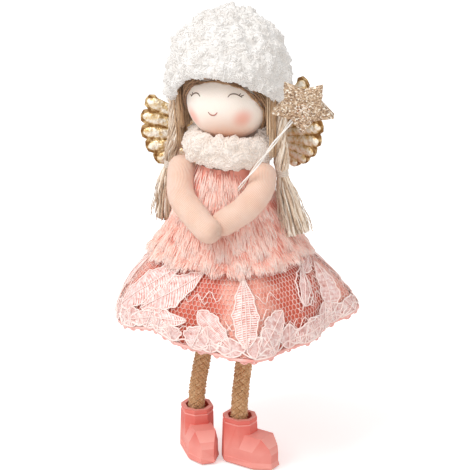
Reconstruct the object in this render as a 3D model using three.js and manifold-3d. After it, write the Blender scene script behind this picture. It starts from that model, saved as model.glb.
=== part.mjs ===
// Hanging angel doll: stuffed head and body, fur tunic, gathered skirts, folded arms with a star wand,
// rope legs in moulded boots, and foil wings on the back.
// Millimetres, +Z up. The doll faces -Y, and its own left side is +X.
// The origin is the point on the hat's crown that the doll hangs from.

import * as THREE from 'three';
import { mergeVertices } from 'three/addons/utils/BufferGeometryUtils.js';
import { ConvexGeometry } from 'three/addons/geometries/ConvexGeometry.js';
import Module from 'manifold-3d';

// Fit between pieces that touch
const CLEARANCE = 0.3;

// Facets of the round forms
const BALL_SIDES = 18;
const BALL_RINGS = 12;
const HAT_SIDES = 48;
const HAT_RINGS = 24;
const BODY_SIDES = 28;
const FUR_SIDES = 72;
const SKIRT_STEPS = 72;
const LIMB_SIDES = 10;
const PEG_SIDES = 14;
const STICK_SIDES = 8;
const TIE_SIDES = 5;
const BODY_ROWS = 6;
const ARM_STEPS = 8;
const PIGTAIL_STEPS = 9;
const FEATHER_STEPS = 4;
const WELD = 1e-4;

// Boots, measured from the ankle's axis and the sole
const BOOT_HEIGHT = 19.5;
const BOOT_WIDTH = 13;
const SHAFT_WIDTH = 12;
const HEEL_REACH = 6.9;
const HEEL_CUT = 3.6;
const BALL_REACH = 10.8;
const TOE_REACH = 17.8;
const TOE_CUT = 3.6;
const SOLE_THICKNESS = 3;
const SOLE_BEVEL = 0.8;
const SOLE_LEDGE = 0.4;
const SHAFT_REACH = 7.2;
const SHAFT_CUT = 3.4;
const SHAFT_WALL = 1.5;
const MOUTH_DEPTH = 3.5;
const TOE_RIDGE_HEIGHT = 13.3;
const TOE_RIDGE_HALF = 4.3;
const TOE_RIDGE_SETBACK = 4.2;
const TOE_BROW_HEIGHT = 9.4;
const TOE_BROW_HALF = 3;
const TOE_CHEEK_HEIGHT = 7.4;

// Stuffed limbs: the rings of a round end, as shares of its radius, and the side that the facets start from
const ROUNDING_SHARES = [0.12, 0.45, 1];
const FIRST_FACET = new THREE.Vector3(0.2, 1, 0.1);

// Rope legs
const ROPE_DIAMETER = 7.2;
const ROPE_END_HEIGHT = 7;
const ROPE_STRAIGHT = 5;
const ROPE_BOW = 1.3;
const ROPE_STEPS = 8;
const LEG_SPAN = 61.7;
const HIP_HALF_SPACING = 7.5;
const HIP_PIVOT_DROP = 1.5;
const RIGHT_ANKLE = { x: -12.5, y: -4.2, toeTurn: 35 };
const LEFT_ANKLE = { x: 7.6, y: -8.4, toeTurn: 75 };

// Stuffed body and the disc that closes it
const HIP_DISC_THICKNESS = 3;
const TORSO_HEIGHT = 37;
const TORSO_BASE_RADIUS = 19;
const TORSO_CHEST_HEIGHT = 28;
const TORSO_CHEST_RADIUS = 13.4;
const TORSO_NECK_RADIUS = 9.5;

// Skirts, measured from the waist down; folds stand out of the hem at these turns from the front
const WAIST_HEIGHT = 6.7;
const WAIST_EASE = 2.5;
const WAISTBAND_HEIGHT = 4;
const SKIRT_DROP = 32;
const HEM_RADIUS = 40.5;
const SATIN_THICKNESS = 0.7;
const LACE_THICKNESS = 0.6;
const BINDING_HEIGHT = 1.8;
const BINDING_OVERHANG = 0.4;
const FOLD_SPREAD = 17;
const RIPPLES = 9;
const RIPPLE_DEPTH = 1.1;
const RIPPLE_TURN = 30;
const SKIRT_FOLDS = [
  { turn: -116, out: 5 },
  { turn: -72, out: 4.8 },
  { turn: 33, out: 7 },
  { turn: 114, out: 9.8 },
  { turn: 158, out: 4 },
  { turn: 203, out: 7 },
];
const HEM_LIFTS = [
  { turn: -24, out: 5 },
  { turn: 112, out: 2.8 },
];
const LIFT_SPREAD = 22;
const BELL_POWER = 1.8;
const DROP_POWER = 1.2;
const FOLD_POWER = 1.3;
const LIFT_POWER = 3;
const SKIRT_SHARES = [0, 0.12, 0.28, 0.5, 0.75, 1];
const LACE_SHARES = [0, 0.12, 0.28, 0.36, 0.46, 0.56, 0.66, 0.76, 0.86, 0.94, 1];
const TANGENT_STEP = 0.02;

// Lace laid flat: its leaves run from base to tip, each end a turn from the front and a share of the drop
const LACE_FLAT_WIDTH = 290;
const LACE_FLAT_LENGTH = 38;
const LEAF_RISE = 0.5;
const NET_SINK = 0.25;
const LEAF_TOP_SHARE = 0.4;
const LEAF_LOW_SHARE = 0.97;
const FRONT_LEAVES = [
  { base: [-82, 0.86], tip: [-66, 0.28], half: 4.2 },
  { base: [-60, 0.82], tip: [-19, 0.15], half: 5.4 },
  { base: [-39, 0.76], tip: [4, 0.22], half: 5.6 },
  { base: [-46, 0.92], tip: [-4, 0.72], half: 3.4 },
  { base: [2, 0.6], tip: [21, 0.92], half: 3.3 },
  { base: [28, 0.9], tip: [30, 0.24], half: 5.2 },
  { base: [36, 0.9], tip: [52, 0.62], half: 3.8 },
  { base: [68, 0.64], tip: [83, 0.3], half: 5.2 },
  { base: [92, 0.9], tip: [102, 0.44], half: 4.2 },
];
const BACK_LEAVES = 7;
const BACK_LEAF_TURN = 128;
const BACK_LEAF_STEP = 22.5;
const BACK_LEAF_LEAN = 13;
const BACK_LEAF_HALF = 5;
const BACK_LEAF_SHARES = [0.88, 0.26];

// Fur tunic, measured from the waist
const BODICE_HEM_DROP = 7.4;
const BODICE_HEM_WALL = 2.2;
const BODICE_WAIST_HEIGHT = 3;
const BODICE_WAIST_RADIUS = 27;
const BODICE_BELLY_HEIGHT = 11;
const BODICE_BELLY_RADIUS = 22.4;
const BODICE_CHEST_HEIGHT = 21;
const BODICE_CHEST_RADIUS = 17.4;
const BODICE_NECK_HEIGHT = 33;
const BODICE_NECK_RADIUS = 12.4;
const FUR_LOCKS = 12;
const LOCK_DEPTH = 1;
const LOCK_HANG = 0.05;
const LINING_SHARES = [1, 0.7, 0.4, 0.1];

// Head, hair and neck
const NECK_SPAN = 12.1;
const NECK_PEG_RADIUS = 3;
const NECK_PEG_SEAT = 9;
const NECK_OPENING_RADIUS = 5.5;
const HEAD_RADIUS = 16.6;
const HEAD_COVER_WALL = 0.9;
const HAIR_THICKNESS = 2;
const HAIRLINE_TILT = 33;
const HAIRLINE_SETBACK = 9.2;
const HAIR_DROP = 10.5;

// Hat
const HAT_SIDE_WALL = 7.3;
const HAT_FRONT_WALL = 5.8;
const HAT_CROWN_WALL = 5;
const HAT_LIFT = 8;
const HAT_HEIGHT = 29.5;
const HAT_RIM_RISE = 0.6;
const HAT_RIM_TILT = 31;
const LUMP_SPACING = 9.6;
const LUMP_DEPTH = 2.4;
const LUMP_AXES = [
  new THREE.Vector3(0.8, 0.6, 0),
  new THREE.Vector3(-0.48, 0.64, 0.6),
  new THREE.Vector3(0.36, -0.48, 0.8),
];
const STUFFING_HALF_WIDTH = 14;
const STUFFING_HALF_DEPTH = 13;

// Scarf ring
const SCARF_RISE = 9.8;
const SCARF_RADIUS = 14;
const SCARF_HALF_WIDTH = 4.6;
const SCARF_HALF_HEIGHT = 7;
const SCARF_TILT = 3;
const SCARF_SIDES = 10;

// Pigtails: routes are given as outward, forward and down from the hinge under the hat's rim
const PIGTAIL_TOP_RADIUS = 2.4;
const PIGTAIL_TIE_RADIUS = 2.6;
const PIGTAIL_END_RADIUS = 4.2;
const PIGTAIL_TIE_DROP = 31;
const PIGTAIL_FORWARD = 2;
const TIE_WIRE_RADIUS = 0.8;
const RIGHT_PIGTAIL_ROUTE = [[0, 0, 0], [0.7, -1, 14], [3.4, -1.2, 31], [4.4, -1.2, 40], [4.7, -1.2, 52.5]];
const LEFT_PIGTAIL_ROUTE = [[0, 0, 0], [0, -2, 15], [0.8, -3, 31], [3.6, -2, 39], [8, -1, 53.2]];

// Arms: routes are given as turn from the front, drop below the shoulders and standoff from the tunic.
// The scarf keeps a little room round the shoulders.
const ARM_RADIUS = 4.9;
const HAND_RADIUS = 5;
const WRIST_SHARE = 0.7;
const SHOULDER_DROP = 2.2;
const SHOULDER_ROOM = 1;
const RIGHT_ARM_ROUTE = [
  [-66, -8, -0.4], [-57, 0, 0], [-35, 6.2, 0], [-12, 10.6, 0.8], [5, 13.2, 5.8], [14, 14.4, 7.8],
];
const LEFT_ARM_ROUTE = [
  [70, -8, -0.4], [61, 0, 0], [50, 3.6, 0.2], [34, 8, 0.2], [18, 11.6, 0.2], [6, 14.6, 0.2],
];

// Star wand: the stick's foot sits in the tunic, and its length counts from where it leaves the fur
const STICK_RADIUS = 0.7;
const STICK_LENGTH = 45.8;
const STICK_SEAT = 9.6;
const STICK_TURN = 69.5;
const STICK_RISE = 51.3;
const GRIP_TURN = 39.6;
const GRIP_RISE = 2.2;
const STAR_POINTS = 5;
const STAR_RADIUS = 12.4;
const STAR_NOTCH_RADIUS = 7.2;
const STAR_THICKNESS = 3;
const STAR_TWIST = 7;
const STAR_FACE_TURN = 26;

// Wings
const WING_FEATHERS = 8;
const WING_LONG = 38.8;
const WING_SHORT = 21;
const WING_TOP_ANGLE = 37;
const WING_LOW_ANGLE = -33;
const WING_ROOT_HALF = 4.5;
const WING_THICKNESS = 1;
const WING_NOTCH = 2.4;
const WING_SWEEP = 24;
const WING_ROLL = 12;
const WING_ROOT_RISE = 6.4;
const BRIDGE_HALF_WIDTH = 6;
const BRIDGE_THICKNESS = 2.8;

const radians = THREE.MathUtils.degToRad;
const wasm = await Module();
wasm.setup();

// Levels above the soles, each built on the one below it
const hipZ = BOOT_HEIGHT + LEG_SPAN;
const hipPivotZ = hipZ - HIP_PIVOT_DROP;
const torsoBaseZ = hipZ + HIP_DISC_THICKNESS + CLEARANCE;
const torsoTopZ = torsoBaseZ + TORSO_HEIGHT;
const waistZ = torsoBaseZ + WAIST_HEIGHT;
const headZ = torsoTopZ + NECK_SPAN + HEAD_RADIUS;
const hatZ = headZ + HAT_LIFT;
const crownZ = hatZ + HAT_HEIGHT;
const scarfZ = torsoTopZ + SCARF_RISE;
const shoulderZ = torsoTopZ - SHOULDER_DROP;
const wingRootZ = torsoTopZ + WING_ROOT_RISE;

// Radii and offsets that follow from the fits
const waistRadius = TORSO_BASE_RADIUS + WAIST_EASE;
const ropeRadius = ROPE_DIAMETER / 2;
const coreRadius = HEAD_RADIUS - HEAD_COVER_WALL - CLEARANCE;
const hairInnerRadius = HEAD_RADIUS + CLEARANCE;
const hairRadius = hairInnerRadius + HAIR_THICKNESS;
const hatInnerRadius = hairRadius + CLEARANCE;
const laceInner = SATIN_THICKNESS + CLEARANCE;
const laceOuter = laceInner + LACE_THICKNESS;
const bridgeY = SCARF_RADIUS + SCARF_HALF_WIDTH + CLEARANCE + BRIDGE_THICKNESS / 2;
const wingY = (BRIDGE_THICKNESS - WING_THICKNESS) / 2;

// Solids and geometry

// A closed body from points and triangles, turned so that its faces look outwards.
function closedBody(points, triangles) {
  const corner = new THREE.Vector3();
  let volume = 0;
  for (const [a, b, c] of triangles) {
    volume += corner.crossVectors(points[a], points[b]).dot(points[c]);
  }
  const outward = volume < 0 ? triangles.map(([a, b, c]) => [a, c, b]) : triangles;
  const geometry = new THREE.BufferGeometry().setFromPoints(points);
  geometry.setIndex(outward.flat());
  return geometry;
}

function solidOf(geometry) {
  const bare = new THREE.BufferGeometry();
  bare.setAttribute('position', geometry.getAttribute('position').clone());
  bare.setIndex(geometry.getIndex());
  const merged = mergeVertices(bare, WELD);
  const triangles = [];
  for (let i = 0; i < merged.index.count; i += 3) {
    const [a, b, c] = merged.index.array.slice(i, i + 3);
    if (a !== b && b !== c && c !== a) {
      triangles.push(a, b, c);
    }
  }
  return new wasm.Manifold(new wasm.Mesh({
    numProp: 3,
    vertProperties: new Float32Array(merged.attributes.position.array),
    triVerts: new Uint32Array(triangles),
  }));
}

function geometryOf(solid) {
  const { vertProperties, triVerts } = solid.getMesh();
  const geometry = new THREE.BufferGeometry();
  geometry.setAttribute('position', new THREE.BufferAttribute(vertProperties, 3));
  geometry.setIndex(new THREE.BufferAttribute(triVerts, 1));
  geometry.computeVertexNormals();
  return geometry;
}

function cutBy(solid, ...cutters) {
  return cutters.reduce((left, cutter) => left.subtract(cutter), solid);
}

function ball(x, y, z, height) {
  const geometry = new THREE.SphereGeometry(1, BALL_SIDES, BALL_RINGS);
  geometry.rotateX(Math.PI / 2);
  geometry.scale(x, y, z);
  geometry.translate(0, 0, height);
  return solidOf(geometry);
}

function post(radius, lowZ, highZ, x = 0, y = 0) {
  const geometry = new THREE.CylinderGeometry(radius, radius, highZ - lowZ, PEG_SIDES);
  geometry.rotateX(Math.PI / 2);
  geometry.translate(x, y, (lowZ + highZ) / 2);
  return solidOf(geometry);
}

// A ring of material: a closed section of sectionCount points carried round in aroundCount steps.
// Each face is split from its higher corner, so that nested rings are split alike.
function ringBody(sectionCount, aroundCount, pointAt) {
  const points = [];
  const faces = [];
  for (let around = 0; around < aroundCount; around++) {
    const here = around * sectionCount;
    const there = ((around + 1) % aroundCount) * sectionCount;
    for (let place = 0; place < sectionCount; place++) {
      const next = (place + 1) % sectionCount;
      points.push(pointAt(place, (around / aroundCount) * 2 * Math.PI));
      faces.push([here + place, there + place, there + next, here + next]);
    }
  }
  const triangles = faces.flatMap(([a, b, c, d]) => {
    const falling = points[a].z >= points[d].z;
    return falling ? [[a, b, c], [a, c, d]] : [[a, b, d], [b, c, d]];
  });
  return closedBody(points, triangles);
}

// A solid of revolution from [radius, height] pairs that start and end on the axis.
function turned(outline, sides) {
  const profile = outline.map(([radius, height]) => new THREE.Vector2(radius, height));
  const geometry = new THREE.LatheGeometry(profile, sides);
  geometry.rotateX(Math.PI / 2);
  return solidOf(closedBody(pointsOf(geometry), trianglesOf(geometry)));
}

function pointsOf(geometry) {
  const position = geometry.getAttribute('position');
  const pointAt = (_, i) => new THREE.Vector3().fromBufferAttribute(position, i);
  return Array.from({ length: position.count }, pointAt);
}

function trianglesOf(geometry) {
  const index = geometry.getIndex().array;
  const triangleAt = (_, i) => [index[3 * i], index[3 * i + 1], index[3 * i + 2]];
  return Array.from({ length: index.length / 3 }, triangleAt);
}

function routeCurve(points) {
  return new THREE.CatmullRomCurve3(points, false, 'centripetal');
}

// A stuffed limb: round sections of changing radius along a smooth route, with round or flat ends.
function limb(route, radiusAt, steps, roundEnd) {
  const curve = routeCurve(route);
  const length = curve.getLength();
  const startRadius = radiusAt(0);
  const endRadius = roundEnd ? radiusAt(1) : 0;
  const inner = length - startRadius - endRadius;
  const places = [
    ...ROUNDING_SHARES.map((share) => share * startRadius),
    ...Array.from({ length: steps - 1 }, (_, i) => startRadius + (inner * (i + 1)) / steps),
    ...(roundEnd ? ROUNDING_SHARES.map((share) => length - share * endRadius).reverse() : [length]),
  ];
  const bulge = (distance, radius) => {
    const short = Math.max(0, 1 - distance / radius);
    return Math.sqrt(1 - short * short);
  };
  const points = [];
  const triangles = [];
  let normal = FIRST_FACET;
  places.forEach((place, row) => {
    const share = place / length;
    const tangent = curve.getTangentAt(share);
    normal = normal.clone().addScaledVector(tangent, -normal.dot(tangent)).normalize();
    const side = new THREE.Vector3().crossVectors(tangent, normal);
    const endBulge = roundEnd ? bulge(length - place, endRadius) : 1;
    const radius = radiusAt(share) * bulge(place, startRadius) * endBulge;
    for (let i = 0; i < LIMB_SIDES; i++) {
      const angle = (i / LIMB_SIDES) * 2 * Math.PI;
      const point = curve.getPointAt(share);
      point.addScaledVector(normal, radius * Math.cos(angle));
      point.addScaledVector(side, radius * Math.sin(angle));
      points.push(point);
      if (row > 0) {
        const here = row * LIMB_SIDES + i;
        const next = row * LIMB_SIDES + ((i + 1) % LIMB_SIDES);
        triangles.push([here - LIMB_SIDES, next - LIMB_SIDES, next], [here - LIMB_SIDES, next, here]);
      }
    }
  });
  const last = points.length - LIMB_SIDES;
  points.push(curve.getPointAt(0), curve.getPointAt(1));
  for (let i = 0; i < LIMB_SIDES; i++) {
    const next = (i + 1) % LIMB_SIDES;
    triangles.push([points.length - 2, next, i], [points.length - 1, last + i, last + next]);
  }
  return solidOf(closedBody(points, triangles));
}

// A radius at a height, on a smooth curve through [height, radius] pairs in rising order.
function radiusThrough(pairs, height) {
  const last = pairs.length - 1;
  const slope = (i) => {
    const low = pairs[Math.max(i - 1, 0)];
    const high = pairs[Math.min(i + 1, last)];
    return (high[1] - low[1]) / (high[0] - low[0]);
  };
  const at = THREE.MathUtils.clamp(height, pairs[0][0], pairs[last][0]);
  const i = Math.min(Math.max(pairs.findIndex((pair) => pair[0] >= at) - 1, 0), last - 1);
  const width = pairs[i + 1][0] - pairs[i][0];
  const t = (at - pairs[i][0]) / width;
  const rise = pairs[i + 1][1] - pairs[i][1];
  const startBend = slope(i) * width - rise;
  const endBend = rise - slope(i + 1) * width;
  return pairs[i][1] + t * rise + t * (1 - t) * ((1 - t) * startBend + t * endBend);
}

function onTurn(radius, turn, z) {
  return new THREE.Vector3(radius * Math.sin(turn), -radius * Math.cos(turn), z);
}

function turnFrom(from, to) {
  return new THREE.Quaternion().setFromUnitVectors(from, to);
}

function finish(name, shape, color, roughness, metalness = 0) {
  const geometry = shape.isBufferGeometry ? shape : geometryOf(shape);
  const material = new THREE.MeshStandardMaterial({ color, roughness, metalness });
  const mesh = new THREE.Mesh(geometry, material);
  mesh.name = name;
  return mesh;
}

// Body

const torsoRadii = [
  [torsoBaseZ, TORSO_BASE_RADIUS],
  [torsoBaseZ + TORSO_CHEST_HEIGHT, TORSO_CHEST_RADIUS],
  [torsoTopZ, TORSO_NECK_RADIUS],
];
const torsoRadius = (z) => radiusThrough(torsoRadii, z);

function torsoBody(grow) {
  const wall = Array.from({ length: BODY_ROWS + 1 }, (_, row) => {
    const z = torsoBaseZ + (TORSO_HEIGHT * row) / BODY_ROWS;
    return [torsoRadius(z) + grow, z];
  });
  const low = torsoBaseZ - grow;
  const high = torsoTopZ + grow;
  const foot = [wall[0][0], low];
  const neck = [wall[BODY_ROWS][0], high];
  return turned([[0, low], foot, ...wall.slice(1, -1), neck, [0, high]], BODY_SIDES);
}

const pegLowZ = torsoTopZ - NECK_PEG_SEAT;
const pegHighZ = headZ - coreRadius + NECK_PEG_SEAT;
const pegHole = post(NECK_PEG_RADIUS + CLEARANCE, pegLowZ - CLEARANCE, pegHighZ + CLEARANCE);
const neckPeg = post(NECK_PEG_RADIUS, pegLowZ, pegHighZ);
const torsoCore = cutBy(torsoBody(0), pegHole);

function hipPivot(side) {
  return new THREE.Vector3(side * HIP_HALF_SPACING, 0, hipPivotZ);
}

function hipBall(side, radius) {
  const geometry = new THREE.SphereGeometry(radius, PEG_SIDES, BALL_RINGS);
  geometry.translate(...hipPivot(side).toArray());
  return solidOf(geometry);
}

const hipDisc = cutBy(
  post(TORSO_BASE_RADIUS, hipZ, hipZ + HIP_DISC_THICKNESS),
  hipBall(-1, ropeRadius + CLEARANCE),
  hipBall(1, ropeRadius + CLEARANCE),
);

// Skirts: one bell with folds, that each layer follows at its own lift

function turnGap(turn, centre) {
  const gap = Math.abs(turn - radians(centre)) % (2 * Math.PI);
  return Math.min(gap, 2 * Math.PI - gap);
}

// The sum of round swells, each standing out most at its own turn
function swellAt(swells, spread, turn) {
  return swells.reduce((sum, swell) => {
    const gap = turnGap(turn, swell.turn) / radians(spread);
    return sum + swell.out * Math.exp(-gap * gap);
  }, 0);
}

// The bell's curve at a share of the way from waist to hem
function bellPoint(share, turn) {
  const spread = (HEM_RADIUS - waistRadius) * (1 - (1 - share) ** BELL_POWER);
  const ripple = RIPPLE_DEPTH * Math.cos(RIPPLES * (turn - radians(RIPPLE_TURN)));
  const fold = swellAt(SKIRT_FOLDS, FOLD_SPREAD, turn) + ripple;
  const radius = waistRadius + spread + fold * share ** FOLD_POWER;
  const lift = swellAt(HEM_LIFTS, LIFT_SPREAD, turn) * share ** LIFT_POWER;
  const drop = SKIRT_DROP * share ** DROP_POWER - lift;
  return new THREE.Vector2(radius, waistZ - drop);
}

function bellTangent(share, turn) {
  const low = Math.max(share - TANGENT_STEP, 0);
  const high = Math.min(share + TANGENT_STEP, 1);
  return bellPoint(high, turn).sub(bellPoint(low, turn)).normalize();
}

function skirtPoint(share, turn, lift, past = 0) {
  const tangent = bellTangent(share, turn);
  const place = bellPoint(share, turn).addScaledVector(tangent, past);
  return onTurn(place.x - tangent.y * lift, turn, place.y + tangent.x * lift);
}

function skirtLayer(low, high, shares = SKIRT_SHARES, relief = () => 0) {
  const section = [
    ...SKIRT_SHARES.map((share) => [share, () => low]),
    ...shares.map((share) => [share, (turn) => high + relief(share, turn)]).reverse(),
  ];
  return ringBody(section.length, SKIRT_STEPS, (place, turn) => {
    const [share, liftAt] = section[place];
    return skirtPoint(share, turn, liftAt(turn));
  });
}

const backLeaves = Array.from({ length: BACK_LEAVES }, (_, step) => {
  const turn = BACK_LEAF_TURN + BACK_LEAF_STEP * step;
  const lean = step % 2 ? BACK_LEAF_LEAN : -BACK_LEAF_LEAN;
  const [low, high] = BACK_LEAF_SHARES;
  return { base: [turn, low], tip: [turn + lean, high], half: BACK_LEAF_HALF };
});
const laceLeaves = [...FRONT_LEAVES, ...backLeaves];

function flatLace([turn, share]) {
  return new THREE.Vector2((turn / 360) * LACE_FLAT_WIDTH, share * LACE_FLAT_LENGTH);
}

function insideLeaf(leaf, share, degrees) {
  const base = flatLace(leaf.base);
  const along = flatLace(leaf.tip).sub(base);
  const gap = flatLace([degrees, share]).sub(base);
  const part = gap.dot(along) / along.lengthSq();
  const half = leaf.half * Math.sin(Math.PI * Math.min(Math.max(part, 0), 1));
  return Math.abs(gap.cross(along)) / along.length() < half;
}

// The leaves stand out of the lace, and the open net lies lower between them.
function laceRelief(share, turn) {
  if (share < LEAF_TOP_SHARE || share > LEAF_LOW_SHARE) {
    return 0;
  }
  const degrees = THREE.MathUtils.radToDeg(turn);
  const turns = [degrees, degrees - 360];
  const covered = laceLeaves.some((leaf) => turns.some((at) => insideLeaf(leaf, share, at)));
  return covered ? LEAF_RISE : -NET_SINK;
}

const bindingSection = [
  [CLEARANCE, -BINDING_OVERHANG],
  [CLEARANCE + BINDING_HEIGHT, -BINDING_OVERHANG],
  [CLEARANCE + BINDING_HEIGHT, laceOuter + BINDING_OVERHANG],
  [CLEARANCE, laceOuter + BINDING_OVERHANG],
];
const hemBinding = ringBody(bindingSection.length, SKIRT_STEPS, (place, turn) => {
  const [past, lift] = bindingSection[place];
  return skirtPoint(1, turn, lift, past);
});

const waistbandLowZ = waistZ - WAISTBAND_HEIGHT / 2;
const waistbandHighZ = waistZ + WAISTBAND_HEIGHT / 2 - CLEARANCE;
const waistTape = post(waistRadius - CLEARANCE, waistbandLowZ, waistbandHighZ);
const waistband = cutBy(waistTape, torsoBody(CLEARANCE));

// Fur tunic

const bodiceRadii = [
  [waistZ + BODICE_WAIST_HEIGHT, BODICE_WAIST_RADIUS],
  [waistZ + BODICE_BELLY_HEIGHT, BODICE_BELLY_RADIUS],
  [waistZ + BODICE_CHEST_HEIGHT, BODICE_CHEST_RADIUS],
  [waistZ + BODICE_NECK_HEIGHT, BODICE_NECK_RADIUS],
];
const bodiceRadius = (z) => radiusThrough(bodiceRadii, z);
const bodiceTopZ = waistZ + BODICE_NECK_HEIGHT;

// How far the fur's locks stand out, a share of their depth: tiers of locks that grow towards the hem
function lockSwell(turn, tier) {
  const shift = tier % 2 ? Math.PI : 0;
  return lockShare(tier) * Math.cos(FUR_LOCKS * turn + shift);
}

function lockShare(tier) {
  return (tier / (BODY_ROWS + 1)) ** 2;
}

// The tunic follows the skirt's folds at its hem, and the stuffed body above the waist.
function bodiceBody(grow) {
  const lowZ = waistZ + BODICE_WAIST_HEIGHT;
  const hemShare = (BODICE_HEM_DROP / SKIRT_DROP) ** (1 / DROP_POWER);
  const lining = laceOuter + CLEARANCE;
  const bodyLevels = [WAISTBAND_HEIGHT, BODICE_BELLY_HEIGHT, BODICE_CHEST_HEIGHT, BODICE_NECK_HEIGHT + grow];
  const underside = LINING_SHARES.map((part) => (turn) => skirtPoint(part * hemShare, turn, lining));
  const inside = bodyLevels.map((level) => (turn) => {
    const z = waistZ + level;
    return onTurn(torsoRadius(z) + CLEARANCE, turn, z);
  });
  const outside = Array.from({ length: BODY_ROWS + 1 }, (_, row) => {
    const z = bodiceTopZ - ((bodiceTopZ - lowZ) * row) / BODY_ROWS;
    const lock = (turn) => LOCK_DEPTH * lockSwell(turn, row);
    return (turn) => onTurn(bodiceRadius(z) + lock(turn) + grow, turn, row ? z : z + grow);
  });
  const hem = (turn) => {
    const lock = lockSwell(turn, BODY_ROWS + 1);
    const share = hemShare * (1 + LOCK_HANG * (1 + lock));
    return skirtPoint(share, turn, lining + BODICE_HEM_WALL + LOCK_DEPTH * lock + grow);
  };
  const section = [...underside, ...inside, ...outside, hem];
  return solidOf(ringBody(section.length, FUR_SIDES, (place, turn) => section[place](turn)));
}

// The room that the locks take up all round, so that a turn of the head carries the pigtails clear of them
function lockRoom() {
  const rows = Array.from({ length: BODY_ROWS + 1 }, (_, row) => {
    const z = bodiceTopZ - ((bodiceTopZ - waistZ) * row) / BODY_ROWS;
    return [bodiceRadius(z) + LOCK_DEPTH * lockShare(row + 1) + CLEARANCE, z];
  });
  return turned([[0, bodiceTopZ], ...rows, [0, waistZ]], FUR_SIDES);
}

const furBodice = bodiceBody(0);
const tunicCutter = bodiceBody(CLEARANCE);

// Scarf

const scarfTilt = radians(SCARF_TILT);
const scarfRing = ringBody(SCARF_SIDES, BODY_SIDES, (place, turn) => {
  const angle = (place / SCARF_SIDES) * 2 * Math.PI;
  const radius = SCARF_RADIUS + SCARF_HALF_WIDTH * Math.cos(angle);
  const point = onTurn(radius, turn, SCARF_HALF_HEIGHT * Math.sin(angle));
  point.applyAxisAngle(new THREE.Vector3(1, 0, 0), -scarfTilt);
  return point.add(new THREE.Vector3(0, 0, scarfZ));
});
const headRoom = ball(hairInnerRadius, hairInnerRadius, hairInnerRadius, headZ);
const shoulderRooms = [RIGHT_ARM_ROUTE, LEFT_ARM_ROUTE].map((route) => arm(route, SHOULDER_ROOM));
const scarf = cutBy(solidOf(scarfRing), headRoom, torsoBody(CLEARANCE), tunicCutter, ...shoulderRooms);

// Head, hair and hat

function headBall(radius) {
  return ball(radius, radius, radius, headZ);
}

const headCore = cutBy(headBall(coreRadius), pegHole);
const neckOpening = post(NECK_OPENING_RADIUS, headZ - 2 * HEAD_RADIUS, headZ);
const headCover = cutBy(headBall(HEAD_RADIUS), headBall(HEAD_RADIUS - HEAD_COVER_WALL), neckOpening);

// A block larger than the doll, with its upper face tilted about X through a point of the mid-plane.
function blockBelow(tilt, y, z) {
  const size = 2 * crownZ;
  const geometry = new THREE.BoxGeometry(size, size, size);
  geometry.translate(0, 0, -size / 2);
  geometry.rotateX(-radians(tilt));
  geometry.translate(0, y, z);
  return solidOf(geometry);
}

const faceBlock = blockBelow(90 - HAIRLINE_TILT, 0, headZ - HAIRLINE_SETBACK);
const neckBlock = blockBelow(0, 0, headZ - HAIR_DROP);
const hairCap = cutBy(headBall(hairRadius), headRoom, faceBlock, neckBlock);

// The hat's looped wool gathers in round lumps, and the hollows between them sink into its ball.
function lumpyBall(x, y, z, height) {
  const geometry = new THREE.SphereGeometry(1, HAT_SIDES, HAT_RINGS);
  geometry.rotateX(Math.PI / 2);
  const points = pointsOf(geometry).map((out) => {
    const normal = new THREE.Vector3(out.x / x, out.y / y, out.z / z).normalize();
    const point = new THREE.Vector3(out.x * x, out.y * y, height + out.z * z);
    const below = new THREE.Vector3(point.x, point.y, point.z - height - z);
    const waves = LUMP_AXES.map((axis) => Math.cos((2 * Math.PI * axis.dot(below)) / LUMP_SPACING));
    const mean = waves.reduce((sum, wave) => sum + wave, 0) / waves.length;
    return point.addScaledVector(normal, (LUMP_DEPTH * (mean - 1)) / 2);
  });
  return solidOf(closedBody(points, trianglesOf(geometry)));
}

const rimZ = headZ + HAT_RIM_RISE;
const hatShape = lumpyBall(hatInnerRadius + HAT_SIDE_WALL, hatInnerRadius + HAT_FRONT_WALL, HAT_HEIGHT, hatZ);
const crownHalf = HAT_HEIGHT - HAT_CROWN_WALL;

function crownWad(grow) {
  return ball(STUFFING_HALF_WIDTH + grow, STUFFING_HALF_DEPTH + grow, crownHalf + grow, hatZ);
}

const hairRoom = headBall(hatInnerRadius);
const hat = cutBy(hatShape, hairRoom, crownWad(CLEARANCE), blockBelow(HAT_RIM_TILT, 0, rimZ));
const hatStuffing = cutBy(crownWad(0), hairRoom);

// Pigtails, each hung from a ball just under the rim

function pigtailHinge(side) {
  const rimAbove = rimZ + PIGTAIL_FORWARD * Math.tan(radians(HAT_RIM_TILT));
  const drop = (PIGTAIL_TOP_RADIUS + CLEARANCE) / Math.cos(radians(HAT_RIM_TILT));
  const out = hatInnerRadius + PIGTAIL_TOP_RADIUS;
  return new THREE.Vector3(side * out, -PIGTAIL_FORWARD, rimAbove - drop);
}

function pigtailPoints(side, route) {
  const hinge = pigtailHinge(side);
  return route.map(([out, forward, down]) => new THREE.Vector3(side * out, -forward, -down).add(hinge));
}

function pigtail(side, route) {
  const points = pigtailPoints(side, route);
  const length = routeCurve(points).getLength();
  const tieShare = PIGTAIL_TIE_DROP / length;
  const radii = [
    [0, PIGTAIL_TOP_RADIUS],
    [tieShare, PIGTAIL_TIE_RADIUS],
    [1, PIGTAIL_END_RADIUS],
  ];
  const top = points[0].clone().add(new THREE.Vector3(0, 0, PIGTAIL_TOP_RADIUS));
  const topped = [top, ...points.slice(1)];
  const bunch = limb(topped, (share) => radiusThrough(radii, share), PIGTAIL_STEPS, false);
  return cutBy(bunch, tunicCutter, lockRoom());
}

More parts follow.
